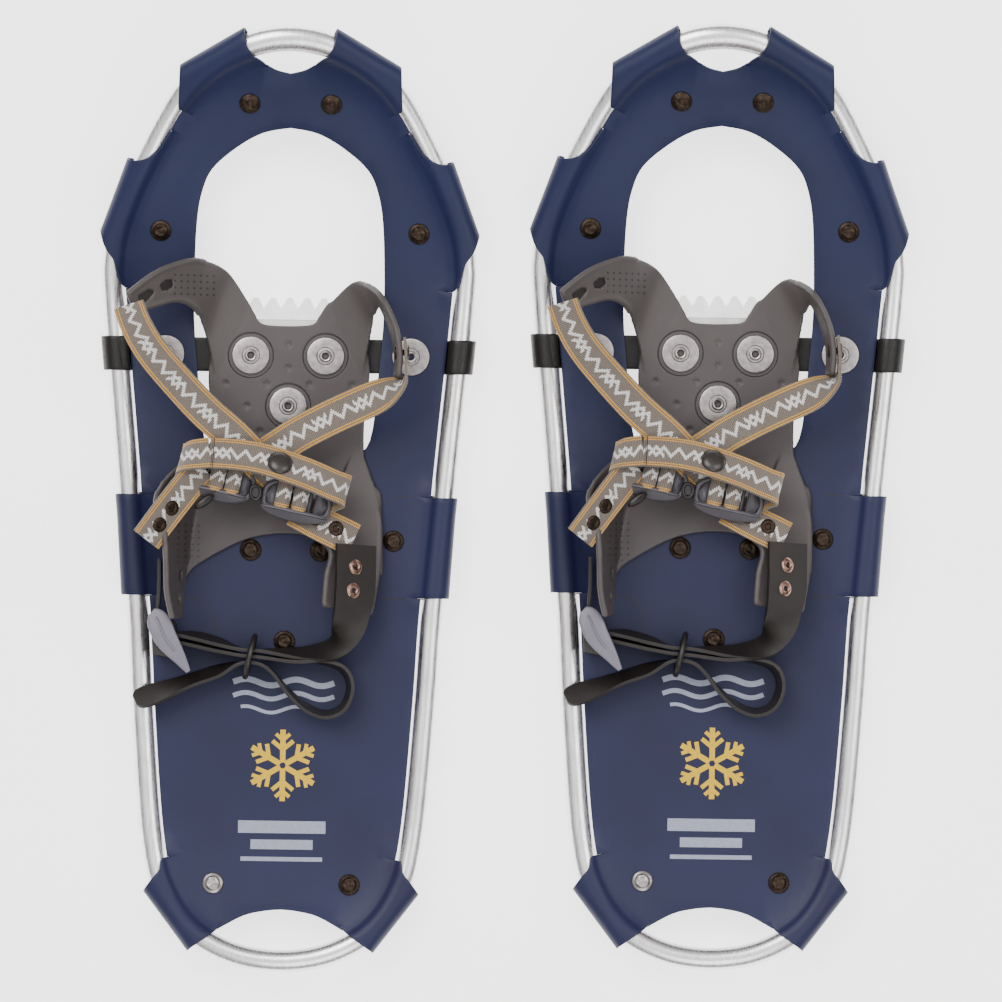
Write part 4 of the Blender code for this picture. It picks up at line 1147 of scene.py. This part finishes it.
def harness():
    """The foot plate and its wings, joined by a voxel remesh and then smoothed, with pits pressed in."""
    parts = [plate_slab(), *(wing_shell(name) for name in WINGS)]
    arch = [[(-34, 46, h), (34, 46, h), (34, 88, h), (-34, 88, h)] for h in (0.4, PLATE_MIDDLE)]
    parts.append(loft(arch))
    for name in WINGS:
        low, high = wing_lines(name)
        for line, other in ((low, high), (high, low)):
            rim = [a + (b - a).normalized() * 0.9 for a, b in zip(line[RIM_START:], other[RIM_START:])]
            parts.append(tube_along(rim, RIM_RADIUS, 8))
        parts.append(tube_along([low[-1].lerp(high[-1], k / 6) for k in range(7)], RIM_RADIUS, 8))
    holder = add_object("harness_raw", make_mesh("harness_raw", *join(parts), []))
    remesh = holder.modifiers.new("remesh", "REMESH")
    remesh.mode = "VOXEL"
    remesh.voxel_size = VOXEL * MM
    soften = holder.modifiers.new("soften", "SMOOTH")
    soften.factor = 0.5
    soften.iterations = 4
    final = baked(holder)
    bpy.data.objects.remove(holder)
    for v in final.vertices:
        x, y, h = v.co / MM
        if PLATE_MIDDLE + 0.6 < h < PLATE_TOP + 1.0:
            for dx, dy in DIMPLES:
                far = math.hypot(x - dx, y - dy) / DIMPLE_RADIUS
                if far < 1:
                    v.co.z -= 0.75 * MM * (1 - far ** 2)
            for gx, gy in PLATE_WASHERS.values():
                off = abs(math.hypot(x - gx, y - gy) - 10.9)
                if off < 1:
                    v.co.z -= 0.35 * MM * (1 - off)
    final.materials.clear()
    final.materials.append(MATS["harness"])
    final.shade_smooth()
    place("foot_harness", final, "binding", "harness_plastic", "harness")
    washer_groove_shade()
    slot_shade_sheets()


# ---------- webbing and adjusters ----------

WEBBING_ROUTES = {
    "front_webbing_left": [
        (-80.5, 99.5, 48), (-76, 88, 47), (-68, 75, 45), (-54, 59, 41), (-41, 45.6, 38.0),
        (-26, 32.4, 34.6), (-14, 20, 31.0), (-3, 10, 28.0), (9, 5.0, 26.6), (20, 3.0, 27.0),
        (27.4, 3.4, 29.6), (31.2, 5.0, 34.5), (30.4, 6.6, 39.6), (24, 9.2, 42.0), (10, 15, 42.4),
        (-9.8, 21.3, 42.4), (-24, 23.6, 42.4), (-38.4, 24.4, 42.2)
    ],
    "front_webbing_right": [
        (60.3, 84, 36.4), (61.0, 77, 37), (61.2, 70, 37.4), (60.0, 62.5, 37.2), (51, 56.5, 36),
        (37.4, 50.3, 34), (22, 43, 32.4), (6.7, 34.8, 31.0), (-6, 26.5, 29.0), (-16, 20.5, 27.2),
        (-26, 16.5, 26.4), (-38, 16.4, 26.4), (-47, 18.0, 28.4), (-52.2, 19.6, 33.0),
        (-52.8, 21.4, 38.4), (-48, 23.2, 41.8), (-38.4, 24.4, 42.2)
    ],
    "rear_webbing_left": [
        (-42, 17, 35.5), (-49, 8.3, 39), (-56, -1, 42.6), (-63, -10.5, 45), (-70, -20.3, 46)
    ],
    "rear_webbing_right": [
        (5, -4, 27.4), (17, -10.4, 28), (24, -13.8, 27.6), (30, -16.6, 26.6), (35.2, -19.2, 25.4)
    ],
}
HAIRPIN_START = {"front_webbing_left": 9.0, "front_webbing_right": 11.2}
PULL_TILT = -0.62            # the pull strap leans: its rear edge stands higher
UPRIGHT_POINTS = 4
WEB_STEPS = 10
WEB_WIDTH = 18.0
WEB_THICKNESS = 1.4
SEAM_X = -36.5


def webbing_path(name):
    path = smooth(WEBBING_ROUTES[name], WEB_STEPS)
    sides = []
    for i in range(len(path)):
        along = heading(path, i)
        step = i / WEB_STEPS
        flat = Vector((-along.y, along.x, 0)).normalized()
        if name == "front_webbing_right":
            flat = Vector((0, 0, 1)).lerp(flat, unit((step - UPRIGHT_POINTS + 1.5) / 2.5))
        if name in HAIRPIN_START and step > HAIRPIN_START[name]:
            aim = Vector((0.25, 1, PULL_TILT)).normalized()
            last = sides[-1].normalized()
            aim = aim if aim.dot(last) > 0 else -aim
            flat = last.lerp(aim, 0.35 * min(step - HAIRPIN_START[name], 1))
        if name == "front_webbing_left" and step < 6:
            flat = flat + Vector((0, 0, 0.6 * (1 - step / 6)))
        if name == "rear_webbing_left":
            flat = flat + Vector((0, 0, -0.6))
        if name == "rear_webbing_right":
            flat = Vector((0.53, 0.83, -0.2))
        sides.append(flat)
    return path, steady(sides)


def webbing():
    for name in WEBBING_ROUTES:
        part = strip(*webbing_path(name), WEB_WIDTH, WEB_THICKNESS, 16)
        piece(f"{name}_band", part, "webbing", "binding", "patterned_webbing", name, angle=50)
    adjuster_rolls()
    pull_strap_seam()
    turn = Matrix.Translation((-41.0, -0.4, 34.6)) @ Matrix.Rotation(math.radians(36), 4, "Z")
    band = slab([(5.8 * c, 2.4 * s) for c, s in circle(28)], 0.0, 4.6, 1.3)
    piece("webbing_keeper", moved(band, turn), "black", "binding", "black_rubber", angle=50)


def adjuster_rolls():
    """The webbing's turns round the adjusters' bars."""
    axis = Vector((0.21, 0.978, 0))
    cross = Vector((0.978, -0.21, 0))
    rolls = []
    for x, y in ((-34.4, 12.6), (-26.2, 11.0), (-0.4, 4.4), (8.4, 2.6)):
        path = [Vector((x, y, 33.4)) + cross * 3.3 * c + Vector((0, 0, 3.0)) * s for c, s in circle(28)]
        path.append(path[0])
        rolls.append(strip(path, [axis] * len(path), 15.0, 1.2, 12))
    piece("adjuster_rolls", join(rolls), "webbing", "binding", "patterned_webbing", angle=50)


def pull_strap_seam():
    """A ridge across the pull strap with stitches beside it."""
    path, sides = webbing_path("front_webbing_left")
    at = min(range(len(path) - 40, len(path) - 1), key=lambda k: abs(path[k].x - SEAM_X))
    along = heading(path, at).normalized()
    side = squared(sides[at], along)
    up = along.cross(side)
    up = up if up.z > 0 else -up
    cross = [path[at] + side * 0.75 * k + up * (0.72 if abs(k) < 12 else 0.4) for k in range(-12, 13)]
    seam = [tube_along(cross, 0.28, 6)]
    for k in range(-8, 9, 2):
        a = path[at] + side * k + along * 0.9 + up * 0.75
        seam.append(tube_along([a, a + side * 0.5 + up * 0.1, a + side * 1.1], 0.16, 6))
    piece("pull_strap_seam", join(seam), "thread", "binding", "patterned_webbing")


EYELET_PROFILE = [
    (0, -0.6), (1.3, -0.6), (1.45, 0.35), (1.8, 0.75), (2.5, 0.85), (3.6, 0.6), (4.1, 0.25), (4.1, 0.0),
    (0, 0.0)
]


SNAP_PROFILE = [
    (0, 2.7), (2.0, 2.62), (3.8, 2.3), (5.2, 1.7), (6.1, 1.0), (6.5, 0.4), (6.4, 0.0), (0, 0.0)
]
WEBBING_EYELETS = {"rear_webbing_left": [(-57.6, -3.9), (-63.6, -12.4)],
                   "rear_webbing_right": [(26.2, -13.4), (15.9, -8.4)]}
STRAP_EYELETS = [(36, -33.0), (35, -44.9)]


def eyelet_matrix(path, sides, x, y, thickness):
    """Stands a fitting on a strap's upper face at the plan point."""
    i = min(range(1, len(path) - 1), key=lambda k: (path[k].x - x) ** 2 + (path[k].y - y) ** 2)
    along = heading(path, i).normalized()
    side = squared(sides[i], along)
    up = along.cross(side)
    if up.z < 0:
        up, side = -up, -side
    dx, dy = x - path[i].x, y - path[i].y
    flat = path[i] + Vector((dx, dy, -(up.x * dx + up.y * dy) / up.z))
    rotation = Matrix((side, up.cross(side), up)).transposed().to_4x4()
    return Matrix.Translation(flat + up * thickness / 2) @ rotation


def eyelets():
    dark = turned([(r * 0.95, z) for r, z in EYELET_PROFILE], 32)

    def pair(strap, spots, thickness):
        return join([moved(dark, eyelet_matrix(*strap, x, y, thickness)) for x, y in spots])

    for name, spots in WEBBING_EYELETS.items():
        part = pair(webbing_path(name), spots, WEB_THICKNESS)
        piece(f"{name}_eyelets", part, "bronze", "binding", "bronzed_steel", angle=50)
    stand = Matrix.Translation((61.8, 77, 37.2)) @ Matrix.Rotation(math.radians(90), 4, "Y")
    rivet = join([dark, turned([(0, -6.5), (3.4, -6.5), (3.4, -5.6), (1.6, -5.4), (1.6, 0.0), (0, 0.0)],
                               24)])
    piece("front_wing_rivet", moved(rivet, stand), "bronze", "binding", "bronzed_steel", angle=50)
    part = pair(strap_path(), STRAP_EYELETS, STRAP_THICKNESS)
    piece("heel_strap_eyelets", part, "copper", "heel_loop", "bronzed_steel", angle=50)
    path, sides = webbing_path("front_webbing_left")
    stand = eyelet_matrix(path[-60:], sides[-60:], -2.5, 19.4, 1.5)
    piece("snap_cap", moved(turned(SNAP_PROFILE, 48), stand), "snap", "binding", "bronzed_steel",
          "snap_button",
          angle=50)


TAB_Y = -5.6                 # middle line of the raised tab, from the adjuster's middle


def adjusters():
    """Ladder-lock adjusters: a rounded plate with bars, and a raised tab along its rear side."""
    lift_tab = (Matrix.Translation((0, TAB_Y, 5.0)) @ Matrix.Rotation(math.radians(16), 4, "X")
                @ Matrix.Translation((0, -TAB_Y, 0)))
    for word, spot, reach in (("left", (-33, 10.5, 29.9), 15.0), ("right", (6, 0.5, 29.9), 17.5)):
        rim = [Vector((17 * rounded(c, 0.8), 9.5 * rounded(s, 0.8), 0)) for c, s in circle(48)]
        parts = [tube_along(rim, 1.5, closed=True)]
        for x in (-9.5, -4.2, 1.2, 6.6):
            parts.append(tube_along([Vector((x, -9, 0)), Vector((x, 0, 0.3)), Vector((x, 9, 0))], 1.3))
        parts.append(slab([(9.2, -7.5), (14, -5), (16, 0), (14, 5), (9.2, 7.5)], -1.1, 1.1))
        parts.append(slab([(-9.8, 7.5), (-14, 5), (-16, 0), (-14, -5), (-9.8, -7.5)], -1.1, 1.1))
        tab = [(reach * c, TAB_Y + (5.2 if s < 0 else 1.4) * s) for c, s in circle(44)]
        parts.append(moved(slab(tab, -1.0, 1.4, 0.7), lift_tab))
        for x in (-reach + 3.4, reach - 3.4):
            parts.append(tube_along([Vector((x, -7, 0.4)), Vector((x, -6.6, 2.8)),
                                     Vector((x, -6.2, 5.0))], 1.8))
        turn = Matrix.Translation(spot) @ Matrix.Rotation(math.radians(-12), 4, "Z")
        piece(f"adjuster_frame_{word}", moved(join(parts), turn), "adjuster", "binding",
              "adjuster_plastic",
              f"adjuster_{word}", angle=50)
    loop = [Vector((-15 + 2.6 * c, 4.6 + 3.6 * s, 34.0)) for c, s in circle(24)]
    link = [slab([(-18.5, 2.6), (-12.2, 1.2), (-11.2, 7.4), (-17.5, 8.8)], 31.0, 33.4, 0.5),
            tube_along(loop, 0.8, 8, closed=True)]
    piece("adjuster_link", join(link), "black", "binding", "adjuster_plastic", angle=50)


# ---------- heel strap ----------

UPRIGHT = (0, -0.45, 1)
STRAP_ROUTE = [
    ((36.5, -30.5, 25), (1, 0, -0.7)), ((36.5, -43, 26.5), (1, 0, -0.7)),
    ((35, -56, 27.5), (1, -0.1, -0.6)), ((32, -67, 23), (0.8, -0.6, -0.1)),
    ((25, -75, 16), (0.2, -0.7, 0.7)), ((12, -77.6, 13), UPRIGHT), ((0, -77.3, 13), (0, -0.2, 1)),
    ((-12, -76.6, 14), (0, 0, 1)), ((-22, -76, 14.2), (0, 0, 1)), ((-33.5, -72.4, 14.2), (0, -0.2, 1)),
    ((-46, -69.4, 14), (0, -0.2, 1)), ((-57, -68.8, 13.5), (0, 0, 1)), ((-61.2, -70.4, 13), (0, 0, 1)),
    ((-57, -72.1, 13), (0, 0, 1)), ((-46, -73, 13), (0, -0.2, 1)), ((-33, -75.8, 13.6), (0, -0.2, 1)),
    ((-22, -79, 14.2), (0, 0, 1)), ((-12, -79.8, 14.2), (0, 0, 1)), ((6, -81.2, 13), (0, -0.1, 1)),
    ((20.6, -82, 12), (0, 0.12, 1)), ((31, -86, 11.5), (0.14, 0.14, 1)),
    ((34.5, -95, 11.5), (0.2, 0, 1)), ((31, -105, 11.5), (0.14, -0.14, 1)),
    ((22.4, -109, 11.5), (0, -0.2, 1)), ((12.7, -106, 11.5), (-0.1, -0.16, 1)),
    ((3, -98, 11.5), (-0.06, -0.08, 1)), ((-5, -88.5, 12.5), (0, 0, 1)), ((-12, -83.4, 14), (0, 0, 1)),
    ((-22, -83.2, 14), (0, 0, 1)), ((-34, -87.6, 13), (0, -0.4, 1)), ((-48, -92.5, 12.5), UPRIGHT),
    ((-62, -98, 14), (0.1, -0.6, 0.8)), ((-76, -103, 17), (0.2, -0.8, 0.5))
]
STRAP_STEPS = 8
STRAP_WIDTH = 15.0
STRAP_THICKNESS = 1.8
STRAP_BROAD = 1.62           # how much wider its riveted end is
STRAP_TIP = (0.98, 0.95, 0.9, 0.84, 0.76, 0.62, 0.4)


def strap_path():
    return [smooth(line, STRAP_STEPS) for line in zip(*STRAP_ROUTE)]


def heel_strap():
    path, sides = strap_path()
    taper = [1.0] * len(path)
    for k in range(4 * STRAP_STEPS):
        taper[k] = STRAP_BROAD - (STRAP_BROAD - 1) * ease(unit((k / STRAP_STEPS - 1.0) / 2.6))
    taper[-len(STRAP_TIP):] = STRAP_TIP
    part = strip(path, sides, STRAP_WIDTH, STRAP_THICKNESS, 10, taper)
    piece("heel_strap_band", part, "strap", "heel_loop", "heel_strap_rubber", "heel_strap", angle=50)
    mount = smooth([(36.5, -21.5, 24.2), (36.5, -26, 24.6), (36.5, -31.5, 25.0)], 4)
    pad = strip(mount, [Vector((1, 0, -0.7))] * len(mount), STRAP_WIDTH * STRAP_BROAD, 1.75, 10)
    piece("heel_strap_mount", pad, "strap", "binding", "heel_strap_rubber", angle=50)
    heel_buckle()


def heel_buckle():
    """Two cheeks joined by a wall and a bar, with the short band to the left rear wing."""
    cheek = [(-68.5, -58.5), (-66, -55), (-62, -58), (-56, -63), (-53, -76), (-58, -81), (-67, -79)]
    parts = [slab(cheek, 21.7, 23.1, 0.45), slab(cheek, 3.1, 4.5, 0.45),
             slab([(-66.6, -78), (-64.4, -78), (-64.4, -62.6), (-66.6, -62.6)], 3.8, 22.4, 0.3)]
    band = smooth([(-65.6, -66, 14), (-64.8, -55, 14), (-64.2, -43, 14), (-64.3, -30, 14)], 6)
    parts.append(tube_along([Vector((-56.5, -76.5, h)) for h in (4, 13, 22)], 1.3, 12))
    parts.append(strip(band, [Vector((0, 0, 1))] * len(band), 13.8, STRAP_THICKNESS, 10)[:2])
    piece("heel_buckle_body", join(parts), "black", "heel_loop", "black_rubber", "heel_buckle", angle=45)


LEVER_SECTIONS = [
    ((-67.6, -57.4), 2.6, 0.9, 24.6), ((-66.2, -58.9), 4.6, 1.3, 24.8),
    ((-64.4, -61.6), 5.9, 1.5, 25.2), ((-62.5, -65.6), 6.2, 1.5, 25.8),
    ((-60.6, -69.8), 6.0, 1.45, 26.0), ((-58.0, -73.8), 5.4, 1.4, 25.7),
    ((-55.2, -77.6), 4.4, 1.3, 25.3), ((-52.6, -81.2), 3.3, 1.2, 25.1),
    ((-50.2, -84.8), 2.2, 1.1, 25.2), ((-48.3, -87.6), 1.2, 0.8, 25.5)
]


def cam_lever():
    spine = smooth([(x, y, h) for (x, y), _, _, h in LEVER_SECTIONS], 4)
    sizes = smooth([(w, t, 0) for _, w, t, _ in LEVER_SECTIONS], 4)
    rings = []
    for i, (point, size) in enumerate(zip(spine, sizes)):
        along = heading(spine, i)
        side = Vector((-along.y, along.x, 0)).normalized()
        ring = []
        for c, s in circle(20):
            x = rounded(c, 0.75) * size.x
            z = rounded(s, 0.75) * size.y
            ring.append(point + side * x + Vector((0, 0, z - 0.25 * (1 - (x / size.x) ** 2))))
        rings.append(ring)
    rib = [p + Vector((0, 0, s.y - 0.1)) for p, s in zip(spine[6:24], sizes[6:24])]
    part = join([loft(rings), tube_along(rib, 0.7, 8)])
    piece("cam_lever_arm", part, "lever", "lever", "lever_plastic", "cam_lever", angle=60)


def keeper_ring():
    centre = Vector((-17.2, -79.6, 14.4))
    out = Vector((5, 22, 0)).normalized()
    ring = [centre + (out * c + Vector((0, 0, s))) * 10.7 for c, s in circle(56)]
    piece("keeper_o_ring", tube_along(ring, 1.45, 14, closed=True), "black", "ring", "black_rubber",
          "keeper_ring", angle=80)


def dress_crampons():
    for side in SIDES:
        for node in ("toe_crampon", "heel_crampon"):
            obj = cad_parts[f"{side}_{node}"]
            obj.data.materials.clear()
            obj.data.materials.append(MATS["crampon"])


ORIGINS = shoe_origins()
set_camera()
set_floor()
set_light()
MATS = {
    "aluminium": aluminium(), "deck": deck_plastic(), "bronze": bronzed(), "copper": copper(),
    "steel": bright_steel(), "crampon": crampon_steel(), "harness": harness_plastic(),
    "webbing": webbing_cloth(), "cord": cord_cloth(),
    "strap": rubber("heel_strap_rubber", (0.006, 0.0034, 0.0026), (0.010, 0.006, 0.0046), 0.55),
    "black": rubber("black_rubber", (0.007, 0.005, 0.0045), (0.012, 0.009, 0.008), 0.42),
    "lever": moulded("lever_plastic", (0.15, 0.138, 0.175), (0.19, 0.175, 0.215), 0.4).mat,
    "adjuster": moulded("adjuster_plastic", (0.055, 0.050, 0.060), (0.072, 0.066, 0.079), 0.42).mat,
    "yellow": ink_and_shade("yellow_ink", (0.72, 0.44, 0.0)), "pale": ink_and_shade("pale_ink", (0.30, 0.32, 0.41)),
    "crease": ink_and_shade("crease_shadow", (0.0012, 0.0012, 0.004)),
    "snap": moulded("snap_lacquer", (0.022, 0.018, 0.016), (0.034, 0.028, 0.024), 0.3).mat,
    "thread": ink_and_shade("brown_thread", (0.035, 0.022, 0.016)),
}
tube()
deck()
toe_cord()
rivets()
prints_and_crease_shade()
harness()
webbing()
eyelets()
adjusters()
heel_strap()
cam_lever()
keeper_ring()
dress_crampons()
